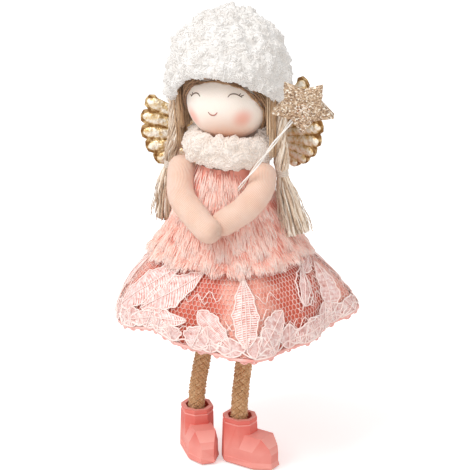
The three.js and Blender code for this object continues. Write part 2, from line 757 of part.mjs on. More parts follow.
function hairTie(side, route) {
  const curve = routeCurve(pigtailPoints(side, route));
  const share = PIGTAIL_TIE_DROP / curve.getLength();
  const ringRadius = PIGTAIL_TIE_RADIUS + 2 * CLEARANCE + TIE_WIRE_RADIUS;
  const geometry = new THREE.TorusGeometry(ringRadius, TIE_WIRE_RADIUS, TIE_SIDES, PEG_SIDES);
  geometry.applyQuaternion(turnFrom(new THREE.Vector3(0, 0, 1), curve.getTangentAt(share)));
  geometry.translate(...curve.getPointAt(share).toArray());
  return solidOf(geometry);
}

// Arms and wand

function armPoints(route) {
  return route.map(([turn, drop, standoff]) => {
    const z = shoulderZ - drop;
    return onTurn(bodiceRadius(z) + ARM_RADIUS + CLEARANCE + standoff, radians(turn), z);
  });
}

function arm(route, grow) {
  const radii = [[0, ARM_RADIUS + grow], [WRIST_SHARE, ARM_RADIUS + grow], [1, HAND_RADIUS + grow]];
  const points = armPoints(route);
  const lengthen = (end, next) => end.add(end.clone().sub(next).setLength(grow));
  lengthen(points[0], points[1]);
  lengthen(points[points.length - 1], points[points.length - 2]);
  return limb(points, (share) => radiusThrough(radii, share), ARM_STEPS, true);
}

const gripZ = shoulderZ + GRIP_RISE;
const grip = onTurn(bodiceRadius(gripZ) + ARM_RADIUS, radians(GRIP_TURN), gripZ);
const stickRise = radians(STICK_RISE);
const stickAlong = onTurn(Math.cos(stickRise), radians(STICK_TURN), Math.sin(stickRise));
const starCentre = grip.clone().addScaledVector(stickAlong, STICK_LENGTH);

function stick(grow) {
  const length = STICK_LENGTH + STICK_SEAT;
  const radius = STICK_RADIUS + grow;
  const geometry = new THREE.CylinderGeometry(radius, radius, length + 2 * grow, STICK_SIDES);
  geometry.applyQuaternion(turnFrom(new THREE.Vector3(0, 1, 0), stickAlong));
  const middle = starCentre.clone().addScaledVector(stickAlong, -length / 2);
  geometry.translate(...middle.toArray());
  return solidOf(geometry);
}

function star() {
  const outline = new THREE.Shape();
  for (let i = 0; i < 2 * STAR_POINTS; i++) {
    const radius = i % 2 ? STAR_NOTCH_RADIUS : STAR_RADIUS;
    const angle = (i * Math.PI) / STAR_POINTS + radians(STAR_TWIST);
    outline[i ? 'lineTo' : 'moveTo'](radius * Math.sin(angle), radius * Math.cos(angle));
  }
  const geometry = new THREE.ExtrudeGeometry(outline, { depth: STAR_THICKNESS, bevelEnabled: false });
  geometry.translate(0, 0, -STAR_THICKNESS / 2);
  const face = onTurn(1, radians(STAR_FACE_TURN), 0);
  face.addScaledVector(stickAlong, -face.dot(stickAlong)).normalize();
  const across = new THREE.Vector3().crossVectors(stickAlong, face);
  geometry.applyMatrix4(new THREE.Matrix4().makeBasis(across, stickAlong, face).setPosition(starCentre));
  return solidOf(closedBody(pointsOf(geometry), facesInOrder(geometry)));
}

function facesInOrder(geometry) {
  const count = geometry.getAttribute('position').count / 3;
  return Array.from({ length: count }, (_, i) => [3 * i, 3 * i + 1, 3 * i + 2]);
}

const stickRoom = stick(CLEARANCE);
const rightArm = cutBy(arm(RIGHT_ARM_ROUTE, 0), tunicCutter);
const leftArm = cutBy(arm(LEFT_ARM_ROUTE, 0), tunicCutter, arm(RIGHT_ARM_ROUTE, CLEARANCE));

// Legs: a rope from a ball in the hip disc to a straight end in the boot

function legRope(side, ankle) {
  const end = new THREE.Vector3(ankle.x, ankle.y, ROPE_END_HEIGHT);
  const straightTop = new THREE.Vector3(ankle.x, ankle.y, BOOT_HEIGHT + ROPE_STRAIGHT);
  const middle = hipPivot(side).lerp(straightTop, 0.5).add(new THREE.Vector3(ROPE_BOW, 0, 0));
  const curve = routeCurve([hipPivot(side), middle, straightTop, end]);
  const section = new THREE.Shape();
  for (let i = 0; i < LIMB_SIDES; i++) {
    const angle = (i / LIMB_SIDES) * 2 * Math.PI;
    section[i ? 'lineTo' : 'moveTo'](ropeRadius * Math.cos(angle), ropeRadius * Math.sin(angle));
  }
  const geometry = new THREE.ExtrudeGeometry(section, { steps: ROPE_STEPS, extrudePath: curve });
  return solidOf(closedBody(pointsOf(geometry), facesInOrder(geometry))).add(hipBall(side, ropeRadius));
}

// Boot: a sole band, a shaft and a faceted toe box, with a stepped socket for the rope

function mirrored(across, forward, z) {
  return [new THREE.Vector3(across, -forward, z), new THREE.Vector3(-across, -forward, z)];
}

function octagon(half, backReach, frontReach, cut, z) {
  return [
    ...mirrored(half, frontReach - cut, z),
    ...mirrored(half - cut, frontReach, z),
    ...mirrored(half - cut, -backReach, z),
    ...mirrored(half, cut - backReach, z),
  ];
}

function solePlan(inset, z) {
  const half = BOOT_WIDTH / 2 - inset;
  const heel = HEEL_REACH - inset;
  const toe = TOE_REACH - inset;
  return [
    ...mirrored(half - HEEL_CUT, -heel, z),
    ...mirrored(half, HEEL_CUT - heel, z),
    ...mirrored(half, BALL_REACH, z),
    ...mirrored(half - TOE_CUT, toe, z),
  ];
}

function boot() {
  const upperLow = SOLE_THICKNESS - SOLE_BEVEL;
  const half = BOOT_WIDTH / 2 - SOLE_LEDGE;
  const heel = HEEL_REACH - SOLE_LEDGE;
  const toe = TOE_REACH - SOLE_LEDGE;
  const sole = new ConvexGeometry([
    ...solePlan(SOLE_BEVEL, 0),
    ...solePlan(0, SOLE_BEVEL),
    ...solePlan(0, SOLE_THICKNESS),
  ]);
  const shaft = new ConvexGeometry([
    ...octagon(half, heel, SHAFT_REACH + SOLE_LEDGE, SHAFT_CUT, upperLow),
    ...octagon(SHAFT_WIDTH / 2, heel, SHAFT_REACH - SOLE_LEDGE, SHAFT_CUT, BOOT_HEIGHT),
  ]);
  const toeBox = new ConvexGeometry([
    ...mirrored(half, 0, upperLow),
    ...mirrored(half, BALL_REACH, upperLow),
    ...mirrored(half - TOE_CUT, toe, upperLow),
    ...mirrored(half, 0, TOE_CHEEK_HEIGHT),
    ...mirrored(half, BALL_REACH - SOLE_LEDGE, TOE_CHEEK_HEIGHT),
    ...mirrored(half - TOE_CUT, toe, TOE_CHEEK_HEIGHT - SOLE_BEVEL),
    ...mirrored(TOE_BROW_HALF, toe - SOLE_BEVEL, TOE_BROW_HEIGHT),
    ...mirrored(TOE_RIDGE_HALF, TOE_REACH - TOE_RIDGE_SETBACK, TOE_RIDGE_HEIGHT),
    ...mirrored(TOE_RIDGE_HALF, 0, TOE_RIDGE_HEIGHT),
  ]);
  const inset = SHAFT_WALL + SOLE_LEDGE;
  const mouthCut = SHAFT_CUT - SOLE_LEDGE;
  const mouth = [BOOT_HEIGHT - MOUTH_DEPTH, BOOT_HEIGHT + MOUTH_DEPTH].flatMap((z) => (
    octagon(SHAFT_WIDTH / 2 - SHAFT_WALL, HEEL_REACH - inset, SHAFT_REACH - inset, mouthCut, z)
  ));
  const ropeSocket = post(ropeRadius + CLEARANCE, ROPE_END_HEIGHT - CLEARANCE, BOOT_HEIGHT);
  const body = convexSolid(sole).add(convexSolid(shaft)).add(convexSolid(toeBox));
  return cutBy(body, convexSolid(new ConvexGeometry(mouth)), ropeSocket);
}

function convexSolid(geometry) {
  return solidOf(closedBody(pointsOf(geometry), facesInOrder(geometry)));
}

function bootOn(ankle, name) {
  const group = new THREE.Group();
  group.position.set(ankle.x, ankle.y, 0);
  group.rotation.z = radians(ankle.toeTurn);
  group.add(finish(name, boot(), 0xee8277, 0.45));
  return group;
}

// Wings: a fan of round feathers, hinged at the ends of the bridge

function wing(side) {
  const step = (WING_TOP_ANGLE - WING_LOW_ANGLE) / (WING_FEATHERS - 1);
  const polar = (length, degrees) => {
    const angle = radians(degrees);
    return [side * length * Math.cos(angle), length * Math.sin(angle)];
  };
  const featherLength = (i) => {
    const share = Math.sin((Math.min(i, WING_FEATHERS - 1) / (WING_FEATHERS - 1)) * Math.PI / 2);
    return WING_SHORT + (WING_LONG - WING_SHORT) * share;
  };
  const outline = new THREE.Shape();
  outline.moveTo(0, -WING_ROOT_HALF);
  for (let i = 0; i < WING_FEATHERS; i++) {
    const angle = WING_LOW_ANGLE + i * step;
    const start = polar(featherLength(i) - WING_NOTCH, angle - step / 2);
    const end = polar(featherLength(i + 1) - WING_NOTCH, angle + step / 2);
    const bulgeLow = polar(featherLength(i) + WING_NOTCH / 2, angle - step / 2);
    const bulgeHigh = polar(featherLength(i) + WING_NOTCH / 2, angle + step / 2);
    outline.lineTo(...start);
    outline.bezierCurveTo(...bulgeLow, ...bulgeHigh, ...end);
  }
  outline.quadraticCurveTo(...polar(WING_SHORT, WING_TOP_ANGLE / 2), 0, WING_ROOT_HALF);
  const options = { depth: WING_THICKNESS, bevelEnabled: false, curveSegments: FEATHER_STEPS };
  const geometry = new THREE.ExtrudeGeometry(outline, options);
  geometry.translate(0, 0, -WING_THICKNESS / 2);
  geometry.rotateX(Math.PI / 2);
  const mesh = finish(side > 0 ? 'left_wing' : 'right_wing', geometry, 0xd9b070, 0.3, 0.9);
  mesh.position.set(side * (BRIDGE_HALF_WIDTH + CLEARANCE), wingY, 0);
  mesh.rotation.z = -side * radians(WING_SWEEP);
  return mesh;
}

function wings() {
  const bridge = new THREE.BoxGeometry(2 * BRIDGE_HALF_WIDTH, BRIDGE_THICKNESS, 2 * WING_ROOT_HALF);
  const group = new THREE.Group();
  group.position.set(0, bridgeY, wingRootZ);
  group.rotation.y = -radians(WING_ROLL);
  group.add(finish('wing_bridge', bridge, 0xd9b070, 0.4, 0.8), wing(-1), wing(1));
  return group;
}

// The figure, built up from the soles

const figure = new THREE.Group();
figure.position.z = -crownZ;
figure.add(
  finish('torso_core', torsoCore, 0xf4efe6, 0.9),
  finish('hip_disc', hipDisc, 0xe9a39a, 0.95),
  finish('neck_peg', neckPeg, 0xd8b98c, 0.7),
  finish('waistband', waistband, 0xe8746a, 0.8),
  finish('satin_underskirt', skirtLayer(0, SATIN_THICKNESS), 0xe8746a, 0.4),
  finish('lace_overskirt', skirtLayer(laceInner, laceOuter, LACE_SHARES, laceRelief), 0xf9dcdc, 0.8),
  finish('hem_binding', hemBinding, 0xef9a90, 0.7),
  finish('fur_bodice', cutBy(furBodice, stickRoom), 0xf6c6bc, 0.95),
  finish('scarf', scarf, 0xf4f1ee, 0.95),
  finish('head_core', headCore, 0xfafafa, 0.9),
  finish('head_cover', headCover, 0xf3e3d3, 0.75),
  finish('hair_cap', hairCap, 0xa08c78, 0.8),
  finish('hat', hat, 0xf2f0ee, 0.95),
  finish('hat_stuffing', hatStuffing, 0xffffff, 0.95),
  finish('right_pigtail', pigtail(-1, RIGHT_PIGTAIL_ROUTE), 0xa08c78, 0.8),
  finish('left_pigtail', pigtail(1, LEFT_PIGTAIL_ROUTE), 0xa08c78, 0.8),
  finish('right_hair_tie', hairTie(-1, RIGHT_PIGTAIL_ROUTE), 0xd8c8b8, 0.8),
  finish('left_hair_tie', hairTie(1, LEFT_PIGTAIL_ROUTE), 0xd8c8b8, 0.8),
  finish('right_arm', rightArm, 0xf9e0ce, 0.85),
  finish('left_arm', leftArm, 0xf9e0ce, 0.85),
  finish('wand_stick', stick(0), 0xeee6da, 0.5),
  finish('star', cutBy(star(), stickRoom), 0xc8a78e, 0.5, 0.3),
  finish('right_leg_rope', legRope(-1, RIGHT_ANKLE), 0xb98e62, 0.9),
  finish('left_leg_rope', legRope(1, LEFT_ANKLE), 0xb98e62, 0.9),
  bootOn(RIGHT_ANKLE, 'right_boot'),
  bootOn(LEFT_ANKLE, 'left_boot'),
  wings(),
);

const doll = new THREE.Group();
doll.add(figure);

export default doll;
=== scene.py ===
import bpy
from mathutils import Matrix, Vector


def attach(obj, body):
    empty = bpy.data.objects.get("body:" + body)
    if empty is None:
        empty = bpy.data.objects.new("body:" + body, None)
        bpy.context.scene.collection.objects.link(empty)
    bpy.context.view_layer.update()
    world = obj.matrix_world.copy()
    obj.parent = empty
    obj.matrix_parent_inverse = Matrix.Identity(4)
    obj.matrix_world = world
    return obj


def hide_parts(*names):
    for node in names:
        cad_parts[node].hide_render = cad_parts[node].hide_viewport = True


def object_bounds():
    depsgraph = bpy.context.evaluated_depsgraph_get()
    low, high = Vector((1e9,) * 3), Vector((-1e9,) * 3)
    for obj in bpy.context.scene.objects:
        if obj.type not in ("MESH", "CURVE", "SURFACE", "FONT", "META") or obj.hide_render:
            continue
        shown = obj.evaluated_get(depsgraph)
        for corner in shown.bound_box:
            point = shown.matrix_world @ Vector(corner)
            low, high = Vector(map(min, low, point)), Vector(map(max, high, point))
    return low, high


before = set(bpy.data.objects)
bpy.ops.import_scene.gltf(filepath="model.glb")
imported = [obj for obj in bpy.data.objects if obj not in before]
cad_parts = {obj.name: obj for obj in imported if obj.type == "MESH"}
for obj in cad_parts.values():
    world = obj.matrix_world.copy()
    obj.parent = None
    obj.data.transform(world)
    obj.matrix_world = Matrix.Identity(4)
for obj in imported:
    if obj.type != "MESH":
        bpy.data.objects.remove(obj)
cadBox = [list(corner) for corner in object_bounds()]

import math
import random

import bpy
from mathutils import Matrix, Vector, noise

# Lengths below are in millimetres, and heights count from the soles.
mm = 0.001
soleLevel = cadBox[0][2]
print("frame loaded:", len(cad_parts), "nodes")


def place(x, y, z):
    return Vector((x * mm, y * mm, z * mm + soleLevel))


def onTurn(radius, turn, z):  # turn in degrees from the front, towards the doll's own left
    angle = math.radians(turn)
    return place(radius * math.sin(angle), -radius * math.cos(angle), z)


def linear(hexColor):  # sRGB hex to the linear colour that a shader wants
    parts = [int(hexColor[i:i + 2], 16) / 255 for i in (1, 3, 5)]
    return tuple(p / 12.92 if p <= 0.04045 else ((p + 0.055) / 1.055) ** 2.4 for p in parts) + (1.0,)


def feed(tree, node, links):
    for key, source in links.items():
        tree.links.new(source, node.inputs[key])


def addNode(tree, kind, settings=None, links=None):
    node = tree.nodes.new(kind)
    for key, value in (settings or {}).items():
        if key == "stops":  # a ramp's colours, each (place, sRGB hex)
            elements = node.color_ramp.elements
            while len(elements) < len(value):
                elements.new(0.5)
            for element, (position, hexColor) in zip(elements, value):
                element.position = position
                element.color = linear(hexColor)
        elif isinstance(key, int) or key in node.inputs:
            node.inputs[key].default_value = value
        else:
            setattr(node, key, value)
    feed(tree, node, links or {})
    return node


def newMaterial(name, settings):  # a principled material, with the coordinates that its patterns read
    material = bpy.data.materials.new(name)
    material.use_nodes = True
    tree = material.node_tree
    shader = tree.nodes["Principled BSDF"]
    for key, value in settings.items():
        shader.inputs[key].default_value = value
    at = addNode(tree, "ShaderNodeTexCoord").outputs
    return material, tree, shader, at


def deselectAll():
    if bpy.context.mode != "OBJECT":
        bpy.ops.object.mode_set(mode="OBJECT")
    bpy.ops.object.select_all(action="DESELECT")


def pick(piece):  # the piece alone is selected and active
    deselectAll()
    piece.select_set(True)
    bpy.context.view_layer.objects.active = piece


def editAll(piece):  # edit mode, with all of the piece selected
    pick(piece)
    bpy.ops.object.mode_set(mode="EDIT")
    bpy.ops.mesh.select_all(action="SELECT")


def closeUp(piece, gap):  # doubles within the gap are merged, and faces point outwards
    editAll(piece)
    bpy.ops.mesh.remove_doubles(threshold=gap * mm)
    bpy.ops.mesh.normals_make_consistent(inside=False)
    bpy.ops.object.mode_set(mode="OBJECT")


def applyModifier(piece, kind, **settings):
    pick(piece)
    modifier = piece.modifiers.new(kind, kind)
    for key, value in settings.items():
        setattr(modifier, key, value)
    bpy.ops.object.modifier_apply(modifier=modifier.name)


def settle(piece):  # place, turn and size go into the mesh
    pick(piece)
    bpy.ops.object.transform_apply(location=True, rotation=True, scale=True)


def smooth(piece, angle=None):
    pick(piece)
    if angle is None:
        bpy.ops.object.shade_smooth()
    else:
        bpy.ops.object.shade_smooth_by_angle(angle=math.radians(angle))


def meshPiece(name, points, faces, material):
    mesh = bpy.data.meshes.new(name)
    mesh.from_pydata(points, [], faces)
    mesh.materials.append(material)
    piece = bpy.data.objects.new(name, mesh)
    bpy.context.collection.objects.link(piece)
    smooth(piece)
    return piece


def gridPiece(name, rows, columns, pointAt, material, loop=True):  # a loop closes round its columns
    count = columns if loop else columns + 1
    points = [pointAt(row / rows, column / columns) for row in range(rows + 1) for column in range(count)]
    faces = []
    marks = []
    for row in range(rows):
        for column in range(columns):
            low, high = row * count, (row + 1) * count
            ahead = (column + 1) % count
            faces.append((low + column, high + column, high + ahead, low + ahead))
            marks += [(column, row), (column, row + 1), (column + 1, row + 1), (column + 1, row)]
    piece = meshPiece(name, points, faces, material)
    uv = piece.data.uv_layers.new(name="weave")
    for corner, (column, row) in enumerate(marks):
        uv.data[corner].uv = (column / columns, row / rows)
    return piece


def setValues(piece, label, values):  # one number for each point, for a finish to read
    attribute = piece.data.attributes.new(label, "FLOAT", "POINT")
    attribute.data.foreach_set("value", values)


def routeLength(route):  # in millimetres
    return sum((b - a).length for a, b in zip(route, route[1:])) / mm


def framesAlong(route, side=None):  # each point of a route, with two directions square to the route there
    frames = []
    last = len(route) - 1
    for i, point in enumerate(route):
        ahead = (route[min(i + 1, last)] - route[max(i - 1, 0)]).normalized()
        side = ahead.orthogonal() if side is None else side
        side = (side - ahead * side.dot(ahead)).normalized()
        frames.append((point, side, ahead.cross(side)))
    return frames


def strandPiece(name, strands, sides, material):  # round strands, each (route, radii, shade)
    points, faces, shades, alongs = [], [], [], []
    for route, radii, shade in strands:
        first = len(points)
        last = len(route) - 1
        for i, (point, side, other) in enumerate(framesAlong(route)):
            ring = first + i * sides
            for k in range(sides):
                angle = 2 * math.pi * k / sides
                points.append(point + (side * math.cos(angle) + other * math.sin(angle)) * radii[i])
                shades.append(shade)
                alongs.append(i / last)
                if i:
                    step = (k + 1) % sides
                    faces.append((ring - sides + k, ring - sides + step, ring + step, ring + k))
        faces.append(tuple(range(first + sides - 1, first - 1, -1)))
        faces.append(tuple(range(first + last * sides, first + (last + 1) * sides)))
    piece = meshPiece(name, points, faces, material)
    setValues(piece, "shade", shades)
    setValues(piece, "along", alongs)
    return piece


def copyNode(nodeName, name, material):  # a CAD node's mesh, as a piece of its own
    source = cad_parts[nodeName]
    piece = source.copy()
    piece.data = source.data.copy()
    piece.parent = None
    piece.matrix_world = Matrix.Identity(4)
    bpy.context.collection.objects.link(piece)
    piece.name = name
    piece.data.materials.clear()
    piece.data.materials.append(material)
    return piece


def joinPieces(name, *pieces):
    deselectAll()
    for piece in pieces:
        piece.select_set(True)
    bpy.context.view_layer.objects.active = pieces[0]
    if len(pieces) > 1:
        bpy.ops.object.join()
    pieces[0].name = name
    return pieces[0]


def smoothRoute(points, count):  # evenly spaced points on a round curve through the given ones
    ends = [points[0] * 2 - points[1]] + list(points) + [points[-1] * 2 - points[-2]]
    fine = []
    fineSteps = 24
    for i in range(1, len(ends) - 2):
        a, b, c, d = ends[i - 1:i + 3]
        times = [0.0]
        for near, far in ((a, b), (b, c), (c, d)):
            times.append(times[-1] + math.sqrt((far - near).length))
        for step in range(fineSteps):
            t = times[1] + (times[2] - times[1]) * step / fineSteps
            pq = a.lerp(b, (t - times[0]) / (times[1] - times[0]))
            qr = b.lerp(c, (t - times[1]) / (times[2] - times[1]))
            rs = c.lerp(d, (t - times[2]) / (times[3] - times[2]))
            low = pq.lerp(qr, (t - times[0]) / (times[2] - times[0]))
            high = qr.lerp(rs, (t - times[1]) / (times[3] - times[1]))
            fine.append(low.lerp(high, (t - times[1]) / (times[2] - times[1])))
    fine.append(points[-1].copy())
    lengths = [0.0]
    for near, far in zip(fine, fine[1:]):
        lengths.append(lengths[-1] + (far - near).length)
    even = []
    i = 0
    for k in range(count):
        want = lengths[-1] * k / (count - 1)
        while i < len(fine) - 2 and lengths[i + 1] < want:
            i += 1
        span = lengths[i + 1] - lengths[i]
        even.append(fine[i].lerp(fine[i + 1], (want - lengths[i]) / span))
    return even


def radiusThrough(pairs, height):  # a smooth curve through (height, radius) pairs in rising order
    height = min(max(height, pairs[0][0]), pairs[-1][0])
    i = 0
    while i < len(pairs) - 2 and pairs[i + 1][0] < height:
        i += 1

    def slope(k):
        low, high = pairs[max(k - 1, 0)], pairs[min(k + 1, len(pairs) - 1)]
        return (high[1] - low[1]) / (high[0] - low[0])

    width = pairs[i + 1][0] - pairs[i][0]
    t = (height - pairs[i][0]) / width
    rise = pairs[i + 1][1] - pairs[i][1]
    bend = (1 - t) * (slope(i) * width - rise) + t * (rise - slope(i + 1) * width)
    return pairs[i][1] + t * rise + t * (1 - t) * bend


# Studio: white backdrop, soft key from the upper left, camera at the photograph's angle. Lamps are
# (name, place from the doll's middle in metres, watts, width in metres).

studio = {"azimuth": 20, "elevation": 19.5, "distance": 900, "aimRight": 2.4, "aimHeight": 93.2,
          "focalPixels": 2250, "framePixels": 470, "sensor": 36, "skyStrength": 0.66, "lampAim": 100,
          "lamps": [("key", (-0.4, -0.62, 0.95), 9.2, 0.7), ("fill", (0.85, -0.5, 0.15), 1.7, 0.9)],
          "floorSize": 4000, "floorGap": 0.4, "floorGlow": 0.42}


def setStudio():
    deselectAll()
    scene = bpy.context.scene
    scene.view_settings.view_transform = "Standard"
    turn, rise = math.radians(studio["azimuth"]), math.radians(studio["elevation"])
    right = Vector((math.cos(turn), math.sin(turn), 0))
    back = Vector((math.sin(turn) * math.cos(rise), -math.cos(turn) * math.cos(rise), math.sin(rise)))
    aim = right * studio["aimRight"] * mm + place(0, 0, studio["aimHeight"])
    bpy.ops.object.camera_add(location=aim + back * studio["distance"] * mm)
    camera = bpy.context.object
    camera.rotation_euler = back.to_track_quat("Z", "Y").to_euler()
    camera.data.sensor_width = studio["sensor"]
    camera.data.sensor_fit = "HORIZONTAL"
    camera.data.lens = studio["sensor"] * studio["focalPixels"] / studio["framePixels"]
    scene.camera = camera
    for name, spot, watts, size in studio["lamps"]:
        bpy.ops.object.light_add(type="AREA", location=place(0, 0, studio["lampAim"]) + Vector(spot))
        lamp = bpy.context.object
        lamp.name = name
        lamp.data.energy = watts
        lamp.data.size = size
        lamp.rotation_euler = Vector(spot).to_track_quat("Z", "Y").to_euler()
    world = bpy.data.worlds.new("white studio")
    scene.world = world
    world.use_nodes = True
    tree = world.node_tree
    ray = addNode(tree, "ShaderNodeLightPath").outputs
    seen = addNode(tree, "ShaderNodeMath", {"operation": "MAXIMUM"},
                   {0: ray["Is Camera Ray"], 1: ray["Is Transmission Ray"]})
    shown = addNode(tree, "ShaderNodeMath", {"operation": "MAXIMUM"},
                    {0: seen.outputs[0], 1: ray["Is Glossy Ray"]})
    level = addNode(tree, "ShaderNodeMapRange", {"To Min": studio["skyStrength"], "To Max": 1.0},
                    {"Value": shown.outputs[0]})
    sky = tree.nodes["Background"]
    sky.inputs["Color"].default_value = (1, 1, 1, 1)
    feed(tree, sky, {"Strength": level.outputs["Result"]})


def makeFloor():  # matt white paper sweep, lifted to white where the camera sees it unshaded
    deselectAll()
    bpy.ops.mesh.primitive_plane_add(size=studio["floorSize"] * mm,
                                     location=place(0, 0, -studio["floorGap"]))
    floor = bpy.context.object
    floor.name = "paperFloor"
    material, tree, shader = newMaterial("matt white paper", {
        "Roughness": 0.9, "Base Color": linear("#F4F3F2"), "Emission Color": (1, 1, 1, 1)})[:3]
    ray = addNode(tree, "ShaderNodeLightPath").outputs
    glow = addNode(tree, "ShaderNodeMath", {"operation": "MULTIPLY", 1: studio["floorGlow"]},
                   {0: ray["Is Camera Ray"]})
    feed(tree, shader, {"Emission Strength": glow.outputs[0]})
    floor.data.materials.append(material)
    settle(floor)


setStudio()
makeFloor()
print("studio set")


# Finishes, each named for the real material

underGlow = {"Subsurface Weight": 0.12, "Subsurface Radius": (1.0, 0.6, 0.45), "Subsurface Scale": 1.0 * mm}


def mottled(name, settings, patch, detail, stops):  # a colour that drifts in patches of a given size
    material, tree, shader, at = newMaterial(name, settings)
    tone = addNode(tree, "ShaderNodeTexNoise", {"Scale": 1 / (patch * mm), "Detail": detail},
                   {"Vector": at["Object"]})
    color = addNode(tree, "ShaderNodeValToRGB", {"stops": stops}, {"Fac": tone.outputs["Fac"]})
    feed(tree, shader, {"Base Color": color.outputs["Color"]})
    return material, tree, shader, at


def roughen(tree, shader, at, size, detail, depth, strength):  # a grain of a given size and depth
    grain = addNode(tree, "ShaderNodeTexNoise", {"Scale": 1 / (size * mm), "Detail": detail},
                    {"Vector": at["Object"]})
    bump = addNode(tree, "ShaderNodeBump", {"Strength": strength, "Distance": depth * mm},
                   {"Height": grain.outputs["Fac"]})
    feed(tree, shader, {"Normal": bump.outputs["Normal"]})


def woolBoucle(name, lightHex, darkHex):  # looped wool yarn: soft, no gloss, curls shade each other
    material, tree, shader, at = mottled(name, {
        "Roughness": 0.95, "Sheen Weight": 0.35, "Sheen Roughness": 0.6, "Specular IOR Level": 0.15,
        "Emission Color": linear(lightHex)}, 5, 3, [(0.3, darkHex), (0.62, lightHex)])
    roughen(tree, shader, at, 0.5, 2, 0.12, 0.5)
    # painted glow: the wool glows wherever the ambient occlusion finds hollows
    hollow = addNode(tree, "ShaderNodeAmbientOcclusion", {"samples": 6, "Distance": 2.2 * mm})
    hollowGlow = addNode(tree, "ShaderNodeMapRange", {"To Min": 0.26, "To Max": 0.0},
                   {"Value": hollow.outputs["AO"]})  # painted glow that lifts the shade in the hollows, standing in for light that passes through the loops
    feed(tree, shader, {"Emission Strength": hollowGlow.outputs["Result"]})
    return material


def yarnFinish(name, darkHex, midHex, lightHex, fibreSize=0.35):  # spun yarn: matt, each strand its own shade
    material, tree, shader, at = newMaterial(name, {"Roughness": 0.75, "Sheen Weight": 0.2})
    shade = addNode(tree, "ShaderNodeAttribute", {"attribute_name": "shade"})
    stretch = addNode(tree, "ShaderNodeMapping", {"Scale": (1, 1, 0.25)}, {"Vector": at["Object"]})
    fibre = addNode(tree, "ShaderNodeTexNoise", {"Scale": 1 / (fibreSize * mm), "Detail": 2},
                    {"Vector": stretch.outputs["Vector"]})
    part = addNode(tree, "ShaderNodeMath", {"operation": "MULTIPLY", 1: 0.6}, {0: shade.outputs["Fac"]})
    mixed = addNode(tree, "ShaderNodeMath", {"operation": "MULTIPLY_ADD", 1: 0.5},
                    {0: fibre.outputs["Fac"], 2: part.outputs[0]})
    color = addNode(tree, "ShaderNodeValToRGB", {"stops": [(0.15, darkHex), (0.5, midHex), (0.9, lightHex)]},
                    {"Fac": mixed.outputs[0]})
    bump = addNode(tree, "ShaderNodeBump", {"Strength": 0.7, "Distance": 0.15 * mm},
                   {"Height": fibre.outputs["Fac"]})
    feed(tree, shader, {"Base Color": color.outputs["Color"], "Normal": bump.outputs["Normal"]})
    return material


def longPileFur():  # acrylic pile: matt, pale at the tips, darker down at the roots as painted shade deep in the pile, with a faint painted glow
    material, tree, shader = newMaterial("peach acrylic fur", {
        "Roughness": 0.7, "Specular IOR Level": 0.2, "Emission Strength": 0.07})[:3]
    shade = addNode(tree, "ShaderNodeAttribute", {"attribute_name": "shade"})
    along = addNode(tree, "ShaderNodeAttribute", {"attribute_name": "along"})
    part = addNode(tree, "ShaderNodeMath", {"operation": "MULTIPLY", 1: 0.45}, {0: shade.outputs["Fac"]})
    pileShadeAndTone = addNode(tree, "ShaderNodeMath", {"operation": "MULTIPLY_ADD", 1: 0.55},
                   {0: along.outputs["Fac"], 2: part.outputs[0]})
    stops = [(0.0, "#E47E69"), (0.28, "#F7BEAE"), (0.6, "#FEE1D6"), (1.0, "#FFF7F2")]
    color = addNode(tree, "ShaderNodeValToRGB", {"stops": stops}, {"Fac": pileShadeAndTone.outputs[0]})
    feed(tree, shader, {"Base Color": color.outputs["Color"],
                        "Emission Color": color.outputs["Color"]})  # painted glow, standing in for light that passes through the pile
    return material


def clothSkin(name, hexColor, knitSize, blushAndChinShadow=()):  # stretch jersey over stuffing: matt, fine knit, warm tint
    material, tree, shader, at = newMaterial(name, {
        "Roughness": 0.8, "Sheen Weight": 0.15, "Specular IOR Level": 0.25, **underGlow})
    tone = addNode(tree, "ShaderNodeTexNoise", {"Scale": 1 / (9 * mm), "Detail": 2}, {"Vector": at["Object"]})
    ramp = addNode(tree, "ShaderNodeValToRGB", {"stops": [(0.3, hexColor), (0.75, "#FBEEE2")]},
                   {"Fac": tone.outputs["Fac"]})
    color = ramp.outputs["Color"]
    for spot, size, hexTint, strength in blushAndChinShadow:  # airbrushed cheeks and the painted shadow under the chin fade out from their middle
        away = addNode(tree, "ShaderNodeVectorMath", {"operation": "DISTANCE", 1: spot}, {0: at["Object"]})
        fade = addNode(tree, "ShaderNodeMapRange", {
            "From Max": size * mm, "To Min": strength, "To Max": 0.0, "interpolation_type": "SMOOTHERSTEP"},
            {"Value": away.outputs["Value"]})
        mix = addNode(tree, "ShaderNodeMix", {"data_type": "RGBA", 7: linear(hexTint)},
                      {0: fade.outputs["Result"], 6: color})
        color = mix.outputs[2]
    knit = addNode(tree, "ShaderNodeTexVoronoi", {"Scale": 1 / (knitSize * mm)}, {"Vector": at["Object"]})
    bump = addNode(tree, "ShaderNodeBump", {"Strength": 0.5, "Distance": 0.08 * mm},
                   {"Height": knit.outputs["Distance"]})
    feed(tree, shader, {"Base Color": color, "Normal": bump.outputs["Normal"]})
    return material


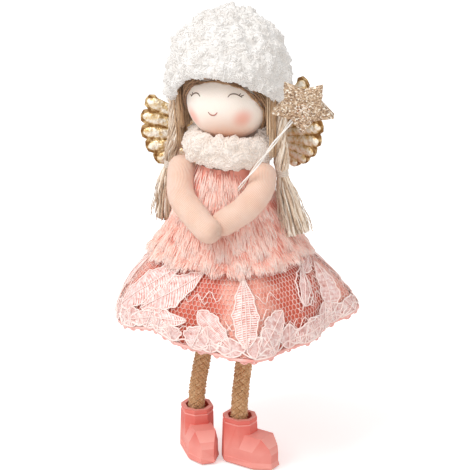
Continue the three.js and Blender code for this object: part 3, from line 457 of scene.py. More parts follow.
def ribbedJersey():  # ribbed jersey sleeve: fine lengthwise ribs, matt, with painted shade in the grooves
    material, tree, shader, at = newMaterial("peach ribbed jersey", {
        "Roughness": 0.85, "Sheen Weight": 0.2, "Specular IOR Level": 0.2, **underGlow})
    weave = addNode(tree, "ShaderNodeUVMap", {"uv_map": "weave"})
    ribs = addNode(tree, "ShaderNodeMapping", {"Scale": (36, 40, 1)}, {"Vector": weave.outputs["UV"]})
    wave = addNode(tree, "ShaderNodeTexWave", {"Scale": 0.5, "Distortion": 0.4, "bands_direction": "X"},
                   {"Vector": ribs.outputs["Vector"]})
    grooveShade = addNode(tree, "ShaderNodeValToRGB", {"stops": [(0.0, "#F0C8B0"), (0.6, "#FFFFFF")]},
                     {"Fac": wave.outputs["Fac"]})
    tone = addNode(tree, "ShaderNodeTexNoise", {"Scale": 1 / (7 * mm), "Detail": 2}, {"Vector": at["Object"]})
    base = addNode(tree, "ShaderNodeValToRGB", {"stops": [(0.3, "#F1CFBB"), (0.7, "#F6DBCB")]},
                   {"Fac": tone.outputs["Fac"]})
    mix = addNode(tree, "ShaderNodeMix", {"data_type": "RGBA", "blend_type": "MULTIPLY", 0: 0.6},
                  {6: base.outputs["Color"], 7: grooveShade.outputs["Color"]})
    bump = addNode(tree, "ShaderNodeBump", {"Strength": 0.8, "Distance": 0.22 * mm},
                   {"Height": wave.outputs["Fac"]})
    feed(tree, shader, {"Base Color": mix.outputs[2], "Normal": bump.outputs["Normal"]})
    return material


def coralSatin(name, lowHex, highHex):  # polyester satin: smooth, with a soft broad shine
    material, tree, shader, at = newMaterial(name, {
        "Roughness": 0.42, "Sheen Weight": 0.25, "Specular IOR Level": 0.4})
    tone = addNode(tree, "ShaderNodeTexNoise", {"Scale": 1 / (6 * mm), "Detail": 3}, {"Vector": at["Object"]})
    ridge = addNode(tree, "ShaderNodeAttribute", {"attribute_name": "ridge"})  # painted light and shade of the folds, set where there are folds
    both = addNode(tree, "ShaderNodeMath", {"operation": "ADD"},
                   {0: tone.outputs["Fac"], 1: ridge.outputs["Fac"]})
    color = addNode(tree, "ShaderNodeValToRGB", {"stops": [(0.3, lowHex), (0.7, highHex)]},
                    {"Fac": both.outputs[0]})
    feed(tree, shader, {"Base Color": color.outputs["Color"]})
    roughen(tree, shader, at, 0.6, 1, 0.05, 0.4)
    return material


def laceThread(name, hexColor):  # mercerised cotton thread: pale, a little sheen
    stops = [(0.3, hexColor), (0.75, "#FFF0EA")]
    return mottled(name, {"Roughness": 0.65, "Sheen Weight": 0.2}, 3, 2, stops)[0]


def leafClothwork():  # clothwork of the leaves: close threads, so the satin shows only as faint lines
    material, tree, shader, at = newMaterial("lace clothwork", {"Roughness": 0.7, "Sheen Weight": 0.2})
    weave = addNode(tree, "ShaderNodeUVMap", {"uv_map": "weave"})
    rows = addNode(tree, "ShaderNodeMapping", {"Scale": (4, 26, 1), "Rotation": (0, 0, 0.12)},
                   {"Vector": weave.outputs["UV"]})
    wave = addNode(tree, "ShaderNodeTexWave", {
        "Scale": 0.5, "Distortion": 1.6, "Detail": 1, "bands_direction": "Y"},
        {"Vector": rows.outputs["Vector"]})
    patch = addNode(tree, "ShaderNodeTexNoise", {"Scale": 1 / (1.8 * mm), "Detail": 4},
                    {"Vector": at["Object"]})
    both = addNode(tree, "ShaderNodeMath", {"operation": "MULTIPLY_ADD", 1: 0.55},
                   {0: wave.outputs["Fac"], 2: patch.outputs["Fac"]})
    stops = [(0.54, "#E67864"), (0.7, "#F5B0A2"), (0.92, "#FFFAF8")]
    color = addNode(tree, "ShaderNodeValToRGB", {"stops": stops}, {"Fac": both.outputs[0]})
    cover = addNode(tree, "ShaderNodeMapRange", {
        "From Min": 0.35, "From Max": 0.75, "To Min": 0.55, "To Max": 1.0}, {"Value": both.outputs[0]})
    bump = addNode(tree, "ShaderNodeBump", {"Strength": 0.6, "Distance": 0.12 * mm},
                   {"Height": wave.outputs["Fac"]})
    feed(tree, shader, {"Base Color": color.outputs["Color"], "Alpha": cover.outputs["Result"],
                        "Normal": bump.outputs["Normal"]})
    return material


def castResin():  # cast resin boots: satin coat, faint mottling from the mould, painted paler on the upward faces and the feet as painted light
    material, tree, shader, at = newMaterial("coral cast resin", {
        "Roughness": 0.48, "Specular IOR Level": 0.35})
    tone = addNode(tree, "ShaderNodeTexNoise", {"Scale": 1 / (11 * mm), "Detail": 3},
                   {"Vector": at["Object"]})
    stops = [(0.3, "#DA594E"), (0.55, "#E26D61"), (0.8, "#E98275")]
    color = addNode(tree, "ShaderNodeValToRGB", {"stops": stops}, {"Fac": tone.outputs["Fac"]})
    facing = addNode(tree, "ShaderNodeSeparateXYZ", links={"Vector": at["Normal"]})
    topLight = addNode(tree, "ShaderNodeMapRange", {"From Min": -0.05, "From Max": 0.75, "To Max": 0.6},
                   {"Value": facing.outputs["Z"]})
    spot = addNode(tree, "ShaderNodeSeparateXYZ", links={"Vector": at["Object"]})
    footLight = addNode(tree, "ShaderNodeMapRange", {  # painted highlight on the feet too, up to the ankles
        "From Min": soleLevel + 7 * mm, "From Max": soleLevel + 13 * mm, "To Min": 0.34, "To Max": 0.0},
        {"Value": spot.outputs["Z"]})
    paintedLight = addNode(tree, "ShaderNodeMath", {"operation": "ADD"},
                   {0: topLight.outputs["Result"], 1: footLight.outputs["Result"]})
    mix = addNode(tree, "ShaderNodeMix", {"data_type": "RGBA", 7: linear("#FBC0B4")},
                  {0: paintedLight.outputs[0], 6: color.outputs["Color"]})
    feed(tree, shader, {"Base Color": mix.outputs[2]})
    roughen(tree, shader, at, 0.8, 2, 0.05, 0.5)
    return material


def goldFoil():  # hot-stamped gold foil: half metal, crumpled, with painted shade between the feather rolls and painted highlights on their crests
    material, tree, shader, at = newMaterial("stamped gold foil", {"Metallic": 0.5})
    tone = addNode(tree, "ShaderNodeTexNoise", {"Scale": 1 / (1.8 * mm), "Detail": 4},
                   {"Vector": at["Object"]})
    crest = addNode(tree, "ShaderNodeAttribute", {"attribute_name": "crest"})
    height = addNode(tree, "ShaderNodeMath", {"operation": "MULTIPLY_ADD", 1: 0.34},
                     {0: crest.outputs["Fac"], 2: tone.outputs["Fac"]})
    stops = [(0.45, "#8E6230"), (0.66, "#E0BF88"), (0.88, "#FFF8EA")]
    color = addNode(tree, "ShaderNodeValToRGB", {"stops": stops}, {"Fac": height.outputs[0]})
    rough = addNode(tree, "ShaderNodeMapRange", {"To Min": 0.22, "To Max": 0.5},
                    {"Value": tone.outputs["Fac"]})
    feed(tree, shader, {"Base Color": color.outputs["Color"], "Roughness": rough.outputs["Result"]})
    roughen(tree, shader, at, 1.3, 3, 0.7, 0.9)  # the foil's crumples
    return material


def glitterFoam():  # glitter on foam board: hard flakes, each tilted its own way and painted its own brightness, dark to near white, as painted glints
    material, tree, shader, at = newMaterial("champagne glitter foam", {"Metallic": 0.35, "Roughness": 0.4})
    flakes = addNode(tree, "ShaderNodeTexVoronoi", {"Scale": 1 / (0.55 * mm)}, {"Vector": at["Object"]})
    grey = addNode(tree, "ShaderNodeSeparateColor", links={"Color": flakes.outputs["Color"]})
    stops = [(0.0, "#7E6048"), (0.35, "#B79678"), (0.75, "#D8BC9C"), (0.95, "#FFF8EA")]
    color = addNode(tree, "ShaderNodeValToRGB", {"stops": stops}, {"Fac": grey.outputs[0]})
    bump = addNode(tree, "ShaderNodeBump", {"Strength": 0.8, "Distance": 0.3 * mm},
                   {"Height": grey.outputs[1]})
    feed(tree, shader, {"Base Color": color.outputs["Color"], "Normal": bump.outputs["Normal"]})
    return material


def filmFlake():  # metallised film flakes: mirror bright, so a few catch the lamp
    stops = [(0.3, "#D8B79C"), (0.7, "#FFF6EA")]
    return mottled("metallised film flake", {"Metallic": 1.0, "Roughness": 0.18}, 2, 2, stops)[0]


def printedInk(name, hexColor):  # printed line: thin, matt ink that sinks into the jersey
    return mottled(name, {"Roughness": 0.7}, 1.5, 1, [(0.2, hexColor), (0.9, "#9A8070")])[0]


def plainGrain(name, lowHex, highHex, grain):  # calico, felt or turned wood: matt, with a visible grain
    material, tree, shader, at = mottled(name, {"Roughness": 0.95, "Sheen Weight": 0.3}, grain, 4,
                                         [(0.3, lowHex), (0.7, highHex)])
    roughen(tree, shader, at, grain, 4, 0.2, 0.6)
    return material


whiteBoucle = woolBoucle("white wool boucle", "#E9E6E3", "#DED9D4")
scarfBoucle = woolBoucle("ivory wool boucle", "#EEE4DC", "#E1D4C9")
hairYarn = yarnFinish("taupe acrylic yarn", "#94745A", "#DCC2A7", "#FFF5E8")
hairShade = yarnFinish("brown acrylic yarn", "#7A5236", "#B58E68", "#E6CDAE")
tieThread = yarnFinish("pale tie thread", "#B9A595", "#D5C6B8", "#EEE4DA")
ropeYarn = yarnFinish("tan cotton braid", "#9C6A3C", "#C89868", "#E6C49A", 0.5)
stickFinish = yarnFinish("bleached willow", "#B79E86", "#EFE6DA", "#FFFFFF")
furPile = longPileFur()
armJersey = ribbedJersey()
satin = coralSatin("coral polyester satin", "#D96850", "#F7B29F")
hemTape = coralSatin("coral binding tape", "#F0A59A", "#FBCCC3")
netThread = laceThread("pale net thread", "#FAC2B2")
cordThread = laceThread("ivory outline cord", "#FCDED6")
clothwork = leafClothwork()
bootResin = castResin()
foil = goldFoil()
glitter = glitterFoam()
sparkle = filmFlake()
eyeInk = printedInk("brown printing ink", "#5B4638")
mouthInk = printedInk("rose printing ink", "#C25A4E")
calico = plainGrain("unbleached calico", "#E9E0D2", "#F6F0E6", 0.7)
felt = plainGrain("coral wool felt", "#D98F86", "#EFB0A6", 1.1)
beech = plainGrain("turned beech", "#C9A577", "#E2C69C", 3.0)
print("finishes ready")


# Skirt: the bell that the satin, the lace and the hem all follow

bell = {"waistHeight": 91.2, "waistRadius": 21.5, "hemRadius": 40.5, "drop": 32,
        "bellPower": 1.8, "dropPower": 1.2, "foldPower": 1.3, "foldSpread": 17, "liftPower": 3,
        "liftSpread": 22, "ripples": 9, "rippleDepth": 1.1, "rippleTurn": 30,
        "gathers": 29, "gatherDepth": 0.22,
        "folds": [(-116, 5), (-72, 4.8), (33, 7), (114, 9.8), (158, 4), (203, 7)],
        "lifts": [(-24, 5), (112, 2.8)]}


def swell(bumps, spread, turn):  # round swellings at the given (turn, height)
    total = 0
    for centre, height in bumps:
        gap = abs((turn - centre + 180) % 360 - 180) / spread
        total += height * math.exp(-gap * gap)
    return total


def bellPoint(share, turn):  # radius and height, from the waist at 0 to the hem at 1
    flare = 1 - (1 - share) ** bell["bellPower"]
    radius = bell["waistRadius"] + (bell["hemRadius"] - bell["waistRadius"]) * flare
    fold = swell(bell["folds"], bell["foldSpread"], turn)
    fold += bell["rippleDepth"] * math.cos(math.radians(turn - bell["rippleTurn"]) * bell["ripples"])
    radius += fold * share ** bell["foldPower"]
    radius += bell["gatherDepth"] * math.sin(math.radians(turn) * bell["gathers"]) * (1 - 0.5 * share)
    lift = swell(bell["lifts"], bell["liftSpread"], turn) * share ** bell["liftPower"]
    return Vector((radius, bell["waistHeight"] - bell["drop"] * share ** bell["dropPower"] + lift))


def skirtPoint(share, turn, lift, past=0.0):  # lift stands off the bell, past runs on beyond its hem
    low, high = max(share - 0.02, 0.0), min(share + 0.02, 1.0)
    tangent = (bellPoint(high, turn) - bellPoint(low, turn)).normalized()
    spot = bellPoint(min(share, 1.0), turn) + tangent * past
    return onTurn(spot.x - tangent.y * lift, turn, spot.y + tangent.x * lift)


underskirt = {"rows": 26, "columns": 216, "cloth": 0.4, "lift": 0.35, "flatWidth": 262, "flatLength": 38,
              "fullFold": 9, "brightest": 0.5, "hollow": 0.28}


def makeSatin():
    piece = gridPiece("satinUnderskirt", underskirt["rows"], underskirt["columns"],
                      lambda v, u: skirtPoint(v, u * 360, underskirt["lift"]), satin)
    paintedFoldLight = []
    for column in range(underskirt["columns"]):  # painted light and shade: folds that stand out are paler, the hollows between darker
        fold = swell(bell["folds"], bell["foldSpread"], 360 * column / underskirt["columns"])
        paintedFoldLight.append(min(fold / underskirt["fullFold"], underskirt["brightest"]) - underskirt["hollow"])
    setValues(piece, "ridge", paintedFoldLight * (underskirt["rows"] + 1))
    applyModifier(piece, "SOLIDIFY", thickness=underskirt["cloth"] * mm, offset=0)
    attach(piece, "torso")
    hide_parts("satin_underskirt")


# Lace: hexagon net, and clothwork leaves with corded edges. A leaf runs from its base to its tip, both
# as (turn, share). An open leaf has clothwork only along its middle, and bare net from there to its edges.

laceNet = {"flatWidth": 290, "flatLength": 38, "cell": 2.1, "thread": 0.13, "top": 0.12, "lift": 1.35,
           "cord": 0.3, "cordSteps": 32, "patchRows": 30, "patchColumns": 8, "crown": 0.35,
           "openShare": 0.55, "cover": 0.9, "ribAt": 0.36, "edgeShare": 0.955, "edgeDepth": 0.03,
           "backLeaves": 7, "backStart": 128, "backStep": 22.5, "backLean": 13, "backBase": 0.88,
           "backTip": 0.26, "backHalf": 5.0, "fans": 34, "fanTip": 0.78, "fanHalf": 5.4,
           "stemGap": 9, "stemRun": 16, "stemSteps": 9, "stemSeed": 21, "edgeWaves": 26,
           "leaves": [
               {"base": (-82, 0.86), "tip": (-66, 0.28), "half": 5.6},
               {"base": (-60, 0.82), "tip": (-19, 0.15), "half": 7.0},
               {"base": (-39, 0.76), "tip": (0, 0.22), "half": 6.6},
               {"base": (-46, 0.92), "tip": (-4, 0.72), "half": 4.6},
               {"base": (2, 0.60), "tip": (21, 0.92), "half": 4.4},
               {"base": (28, 0.90), "tip": (30, 0.24), "half": 5.2, "ribs": 3},
               {"base": (36, 0.90), "tip": (52, 0.62), "half": 5.0},
               {"base": (68, 0.64), "tip": (83, 0.30), "half": 5.2, "open": True},
               {"base": (92, 0.90), "tip": (102, 0.34), "half": 5.4},
               {"base": (54, 0.93), "tip": (94, 0.88), "half": 3.8},
               {"base": (84, 0.36), "tip": (104, 0.24), "half": 2.6},
           ]}

for step in range(laceNet["backLeaves"]):  # the back repeats the leaves in pairs that lean together
    turnAt = laceNet["backStart"] + laceNet["backStep"] * step
    lean = laceNet["backLean"] if step % 2 else -laceNet["backLean"]
    tip = (turnAt + lean, laceNet["backTip"])
    laceNet["leaves"].append({"base": (turnAt, laceNet["backBase"]), "tip": tip, "half": laceNet["backHalf"]})
for step in range(laceNet["fans"]):  # fans of clothwork overlap along the hem
    turnAt = -180 + 360 / laceNet["fans"] * step
    tip = (turnAt + 5 * math.sin(step * 2.3), laceNet["fanTip"] + 0.05 * math.sin(step * 1.7))
    laceNet["leaves"].append({"base": (turnAt, 1.0), "tip": tip, "half": laceNet["fanHalf"]})


def flatSpot(turn, share):  # a place on the lace as it was cut, before it was gathered
    return Vector((turn / 360 * laceNet["flatWidth"], share * laceNet["flatLength"]))


def leafFrame(leaf):  # the leaf's base, its midrib and the direction across it, on the flat lace
    base, tip = flatSpot(*leaf["base"]), flatSpot(*leaf["tip"])
    along = tip - base
    return base, along, Vector((-along.y, along.x)).normalized()


def leafHalf(leaf, a):  # half the leaf's width at a share of its length, with a wavering edge
    uneven = 1 + 0.09 * math.sin(21 * a + leaf["half"] * 7) + 0.05 * math.sin(47 * a)
    return leaf["half"] * uneven * max(math.sin(math.pi * min(max(a, 0.0), 1.0) ** 0.85), 0.0) ** 0.8


def leafSpot(leaf, a, b):  # a runs from base to tip, b from edge to edge
    base, along, across = leafFrame(leaf)
    flat = base + along * a + across * b * leafHalf(leaf, a)
    turn, share = flat.x / laceNet["flatWidth"] * 360, flat.y / laceNet["flatLength"]
    return min(max(share, 0.02), 1.0), turn


def inLeaf(flat):  # whether a leaf's clothwork takes the net's place here
    for leaf in laceNet["leaves"]:
        base, along, across = leafFrame(leaf)
        covered = laceNet["openShare"] if leaf.get("open") else laceNet["cover"]
        for shift in (-laceNet["flatWidth"], 0, laceNet["flatWidth"]):
            gap = flat + Vector((shift, 0)) - base
            a = gap.dot(along) / along.length_squared
            if 0 < a < 1 and abs(gap.dot(across)) < leafHalf(leaf, a) * covered:
                return not leaf.get("open")
    return False


def makeNet():
    count = round(laceNet["flatWidth"] / laceNet["cell"])
    cell = laceNet["flatWidth"] / count
    edge = cell / math.sqrt(3)
    rows = int(laceNet["flatLength"] / (1.5 * edge)) + 1
    low, high = laceNet["top"] * laceNet["flatLength"], laceNet["flatLength"]
    points, faces = [], []

    def skin(flat):  # a point of the net and another just outside it
        turn = flat.x / laceNet["flatWidth"] * 360
        share = min(max(flat.y / laceNet["flatLength"], 0.0), 1.0)
        return skirtPoint(share, turn, laceNet["lift"]), skirtPoint(share, turn, laceNet["lift"] + 0.2)

    for row in range(rows + 1):
        for column in range(count):
            middle = Vector((cell * (column + 0.5 * (row % 2)), 1.5 * edge * row))
            top = middle + Vector((0, edge))
            upRight, upLeft = middle + Vector((cell / 2, edge / 2)), middle + Vector((-cell / 2, edge / 2))
            lowRight = middle + Vector((cell / 2, -edge / 2))
            for start, end in ((upRight, lowRight), (top, upRight), (top, upLeft)):
                half = (start + end) / 2
                if half.y < low or half.y > high or inLeaf(half):
                    continue
                a, aOut = skin(start)
                b = skin(end)[0]
                out = (aOut - a).normalized()
                side = (b - a).cross(out).normalized() * laceNet["thread"] * mm
                rise = out * laceNet["thread"] * mm
                first = len(points)
                for spot in (a, b):
                    points += [spot - side - rise, spot + side - rise, spot + rise]
                for k in range(3):
                    step = (k + 1) % 3
                    faces.append((first + k, first + step, first + 3 + step, first + 3 + k))
                faces += [(first + 2, first + 1, first), (first + 3, first + 4, first + 5)]
    return meshPiece("laceNet", points, faces, netThread)


def leafPatch(leaf):
    wide = laceNet["openShare"] if leaf.get("open") else 1.0

    def pointAt(v, u):
        a, b = 0.01 + 0.98 * v, 2 * u - 1
        share, turn = leafSpot(leaf, a, b * wide)
        return skirtPoint(share, turn, laceNet["lift"] + 0.1 + laceNet["crown"] * (1 - b * b))

    return gridPiece("leaf", laceNet["patchRows"], laceNet["patchColumns"], pointAt, clothwork, loop=False)


def leafCords():
    strands = []
    steps = laceNet["cordSteps"]
    for leaf in laceNet["leaves"]:
        lines = [-1.0, 1.0, 0.0]
        if leaf.get("ribs"):
            lines += [-laceNet["ribAt"], laceNet["ribAt"]]
        if leaf.get("open"):
            lines += [-laceNet["openShare"], laceNet["openShare"]]
        for b in lines:
            route = []
            for i in range(steps + 1):
                share, turn = leafSpot(leaf, i / steps, b)
                crown = laceNet["crown"] * (1 - b * b)
                route.append(skirtPoint(share, turn, laceNet["lift"] + 0.35 + crown))
            thick = laceNet["cord"] * (1.0 if abs(b) == 1.0 else 0.7)
            strands.append((route, [thick * mm] * len(route), 0.5))
    chance = random.Random(laceNet["stemSeed"])
    for start in range(0, 360, laceNet["stemGap"]):  # stems wander between the leaves
        share = chance.uniform(0.35, 0.9)
        route = []
        for i in range(laceNet["stemSteps"] + 1):
            turn = start + laceNet["stemRun"] * i / laceNet["stemSteps"]
            drift = 0.05 * math.sin(i * 1.1 + start)
            route.append(skirtPoint(min(share + drift, 1.0), turn, laceNet["lift"] + 0.25))
        strands.append((route, [laceNet["cord"] * 0.6 * mm] * len(route), 0.4))
    route = []
    for turn in range(361):  # the cord that edges the lace, a wave just over the hem
        wave = math.sin(math.radians(turn * laceNet["edgeWaves"]))
        share = laceNet["edgeShare"] + laceNet["edgeDepth"] * wave
        route.append(skirtPoint(share, turn, laceNet["lift"] + 0.3))
    strands.append((route, [laceNet["cord"] * mm] * len(route), 0.5))
    return strandPiece("leafCords", strands, 5, cordThread)


def makeLace():
    leaves = [leafPatch(leaf) for leaf in laceNet["leaves"]]
    piece = joinPieces("laceOverskirt", makeNet(), leafCords(), *leaves)
    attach(piece, "torso")
    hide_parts("lace_overskirt")


hemBinding = {"roll": 0.75, "uneven": 0.18, "past": 0.5, "lift": 0.8, "steps": 300,
              "picotGap": 3.1, "picotReach": 0.8, "picotThread": 0.34, "picotSteps": 4}


def makeHem():
    lift, past, steps = hemBinding["lift"], hemBinding["past"], hemBinding["steps"]
    route = [skirtPoint(1.0, 360 * i / steps, lift, past) for i in range(steps + 1)]
    radii = [(hemBinding["roll"] + hemBinding["uneven"] * noise.noise(p / (3 * mm))) * mm for p in route]
    strands = [(route, radii, 0.5)]
    count = int(routeLength(route) / hemBinding["picotGap"])
    for k in range(count):  # little thread knots along the lower edge
        turn = 360 * (k + 0.5 * math.sin(k * 2.7)) / count
        reach = hemBinding["picotReach"] * (0.75 + 0.6 * math.sin(k * 1.9))
        loop = []
        for i in range(hemBinding["picotSteps"] + 1):
            swing = math.pi * i / hemBinding["picotSteps"]
            below = past + 0.4 + reach * math.sin(swing)
            loop.append(skirtPoint(1.0, turn + 1.5 * math.cos(swing), lift, below))
        strands.append((loop, [hemBinding["picotThread"] * mm] * len(loop), 0.8))
    piece = strandPiece("hemBinding", strands, 7, hemTape)
    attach(piece, "torso")
    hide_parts("hem_binding")


makeSatin()
makeLace()
makeHem()
print("skirts done")


# Arms: they lie on the tunic, so its measures come first. Routes are turn from the front, drop below the
# shoulders and standoff from the tunic.

tunic = {"radii": [(94.2, 27), (102.2, 22.4), (112.2, 17.4), (124.2, 12.4)], "top": 124.2, "waist": 94.2,
         "hemShare": 0.22, "hemLift": 3.6, "hemPart": 0.2, "facing": 0.2, "rows": 30, "columns": 96,
         "locks": 12, "lockDepth": 1.0, "tiers": 7, "clumps": 960, "perClump": 10, "clumpSpread": 1.5,
         "pile": 6.6, "pressedPile": 2.4, "strand": 0.19, "taper": (1, 0.95, 0.7, 0.18), "seed": 5,
         "fullRadius": 34, "length": 42, "swirl": 14, "swirlSize": 16, "slant": 10, "clumpSway": 5,
         "strandSway": 7, "draw": 0.55, "stand": (0.1, 0.26)}
arms = {"shoulder": 119.3, "radius": 4.9, "clearance": 0.3, "sleeve": 5.4, "hand": 5.0, "handFrom": 0.5,
        "rings": 64, "sides": 30, "firstSide": (0.2, 1, 0.1), "uneven": 0.025, "unevenSize": 6,
        "right": [(-66, -8, -0.4), (-57, 0, 0), (-35, 6.2, 0), (-12, 10.6, 0.8), (5, 13.2, 5.8),
                  (14, 14.4, 7.8)],
        "left": [(70, -8, -0.4), (61, 0, 0), (50, 3.6, 0.2), (34, 8, 0.2), (18, 11.6, 0.2), (6, 14.6, 0.2)]}


def armRoute(name):
    spots = []
    for turn, drop, standoff in arms[name]:
        z = arms["shoulder"] - drop
        out = radiusThrough(tunic["radii"], z) + arms["radius"] + arms["clearance"] + standoff
        spots.append(onTurn(out, turn, z))
    return smoothRoute(spots, arms["rings"] + 1)


def makeArm(name):
    route = armRoute(name)
    length = routeLength(route)
    frames = framesAlong(route, Vector(arms["firstSide"]))

    def pointAt(v, u):
        point, sideways, other = frames[round(v * arms["rings"])]
        tapered = max(v - arms["handFrom"], 0) / (1 - arms["handFrom"])
        radius = arms["sleeve"] + (arms["hand"] - arms["sleeve"]) * tapered
        for edge in (v * length, (1 - v) * length):  # both ends are round
            short = max(0.0, 1 - edge / radius)
            radius *= math.sqrt(max(1 - short * short, 0.0001))
        angle = 2 * math.pi * u
        radius *= 1 + arms["uneven"] * noise.noise(point / (arms["unevenSize"] * mm) + Vector((u * 3, 0, 0)))
        return point + (sideways * math.cos(angle) + other * math.sin(angle)) * radius * mm

    piece = gridPiece(name + "ArmSleeve", arms["rings"], arms["sides"], pointAt, armJersey)
    closeUp(piece, 0.02)
    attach(piece, "folded_arms")
    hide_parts(name + "_arm")


for armSide in ("right", "left"):
    makeArm(armSide)
print("arms done")


# Tunic: a cloth base that carries clumps of long pile, combed down and out over the hem


def tunicPoint(v, turn, lift=0.0):  # v runs from the neck to the hem
    around = math.cos(math.radians(turn) * tunic["locks"])
    tier = tunic["tiers"] * v  # the locks stand in tiers, each half a lock round from the one above
    lift += tunic["lockDepth"] * v * v * around * math.cos(math.pi * tier)
    waistAt = 1 - tunic["hemPart"]
    if v <= waistAt:
        z = tunic["top"] + (tunic["waist"] - tunic["top"]) * v / waistAt
        return onTurn(radiusThrough(tunic["radii"], z) + lift, turn, z)
    waist = onTurn(radiusThrough(tunic["radii"], tunic["waist"]) + lift, turn, tunic["waist"])
    hem = skirtPoint(tunic["hemShare"], turn, tunic["hemLift"] + lift * 0.6)
    return waist.lerp(hem, (v - waistAt) / tunic["hemPart"])


def tunicBacking():
    outer = 1 - tunic["facing"]  # the rest of the backing is turned in under the hem

    def pointAt(v, u):
        if v < outer:
            return tunicPoint(v / outer, u * 360, -0.3)
        inner = (v - outer) / tunic["facing"]
        lift = tunic["hemLift"] - 0.3 - 2.2 * min(inner * 3, 1)
        return skirtPoint(tunic["hemShare"] * (1 - 0.8 * inner), u * 360, lift)

    base = gridPiece("tunicBacking", tunic["rows"], tunic["columns"], pointAt, furPile)
    for label, level in (("shade", 0.2), ("along", 0.12)):  # the backing takes the pile's root colour, the painted shade deep in the pile
        setValues(base, label, [level] * len(base.data.vertices))
    return base


def strandRoute(start, flow, out, pile, stand, pull):  # a strand rises, lies down along the flow and sags
    route = []
    for t in (0.0, 0.35, 0.7, 1.0):
        rise = stand * math.sin(t * 2.0) * pile * 0.75
        sag = Vector((0, 0, -0.2 * pile * t * t))
        route.append(start + (flow * pile * t + out * rise + sag) * mm + pull * t)
    return route


def tunicPile():
    chance = random.Random(tunic["seed"])
    armSpots = [spot for name in ("right", "left") for spot in armRoute(name)[::2]]
    spread = tunic["clumpSpread"]
    strands = []
    made = 0
    while made < tunic["clumps"]:
        v, turn = chance.random() ** 0.75, chance.uniform(-180, 180)
        root = tunicPoint(v, turn)
        radius = math.hypot(root.x, root.y) / mm
        if chance.random() > radius / tunic["fullRadius"]:  # fewer clumps where the tunic is narrow
            continue
        made += 1
        tone = chance.random()
        swirl = tunic["swirl"] * noise.noise(root / (tunic["swirlSize"] * mm)) - tunic["slant"] * (1 - v)
        swirl += chance.gauss(0, tunic["clumpSway"])
        clumpPile = tunic["pile"] * chance.uniform(0.75, 1.15) * (1 - 0.55 * max(v - 0.7, 0) / 0.3)
        for k in range(tunic["perClump"]):
            at = min(max(v + chance.gauss(0, spread) / tunic["length"], 0.0), 1.0)
            around = turn + math.degrees(chance.gauss(0, spread) / radius)
            start = tunicPoint(at, around)
            out = (tunicPoint(at, around, 1.0) - start).normalized()
            above, below = tunicPoint(max(at - 0.04, 0.0), around), tunicPoint(min(at + 0.04, 1.0), around)
            down = (below - above).normalized()
            lean = math.radians(swirl + chance.gauss(0, tunic["strandSway"]))
            flow = down * math.cos(lean) + down.cross(out) * math.sin(lean)
            pull = (root - start) * tunic["draw"]  # the strands of a clump draw together
            pile = clumpPile * chance.uniform(0.8, 1.1)
            stand = chance.uniform(*tunic["stand"])
            route = strandRoute(start, flow, out, pile, stand, pull)
            reach = arms["radius"] * mm
            if any((spot - middle).length < reach for spot in route[1:] for middle in armSpots):
                # pressed flat under the sleeves
                route = strandRoute(start, flow, out, tunic["pressedPile"], 0.05, pull * 0.2)
            thick = tunic["strand"] * mm
            shade = min(max(0.65 * tone + 0.35 * chance.random(), 0), 1)
            strands.append((route, [thick * share for share in tunic["taper"]], shade))
    return strandPiece("tunicPile", strands, 3, furPile)


def makeTunic():
    piece = joinPieces("furTunic", tunicBacking(), tunicPile())
    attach(piece, "torso")
    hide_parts("fur_bodice")


makeTunic()
print("tunic done")


# Body under the tunic: stuffed cotton, closed by a felt disc, with the skirts' tape round its waist

stuffedBody = {"radii": [(84.5, 19), (112.5, 13.4), (121.5, 9.5)], "base": 84.5, "top": 121.5, "ease": 0.3,
               "endPart": 0.1, "seams": 4, "pinch": 0.35, "rows": 30, "columns": 64}
feltDisc = {"low": 81.2, "thick": 3, "radius": 19, "ease": 0.1, "bevel": 0.6, "segments": 72,
            "stitches": 36, "stitchThread": 0.28, "hips": 7.5, "eyelet": 4.0, "eyeletThread": 0.45,
            "eyeletSteps": 24}
waistTape = {"low": 89.2, "high": 92.9, "inner": 18.6, "outer": 21.1, "pleats": 48, "pleatDepth": 0.3,
             "columns": 192}


def makeBody():
    endPart, tall = stuffedBody["endPart"], stuffedBody["top"] - stuffedBody["base"]

    def pointAt(v, u):
        up = 1 - v
        z = stuffedBody["base"] + tall * min(max((up - endPart) / (1 - 2 * endPart), 0), 1)
        radius = radiusThrough(stuffedBody["radii"], z) - stuffedBody["ease"]
        radius *= min(up / endPart, (1 - up) / endPart, 1)  # both ends close to a point
        seam = abs(math.sin(u * math.pi * stuffedBody["seams"])) ** 0.4
        pinch = stuffedBody["pinch"] * (1 - seam) * min(radius / 8, 1)
        return onTurn(max(radius, 0.02) - pinch, u * 360, z)

    body = gridPiece("stuffedBody", stuffedBody["rows"], stuffedBody["columns"], pointAt, calico)
    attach(body, "torso")
    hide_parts("torso_core")


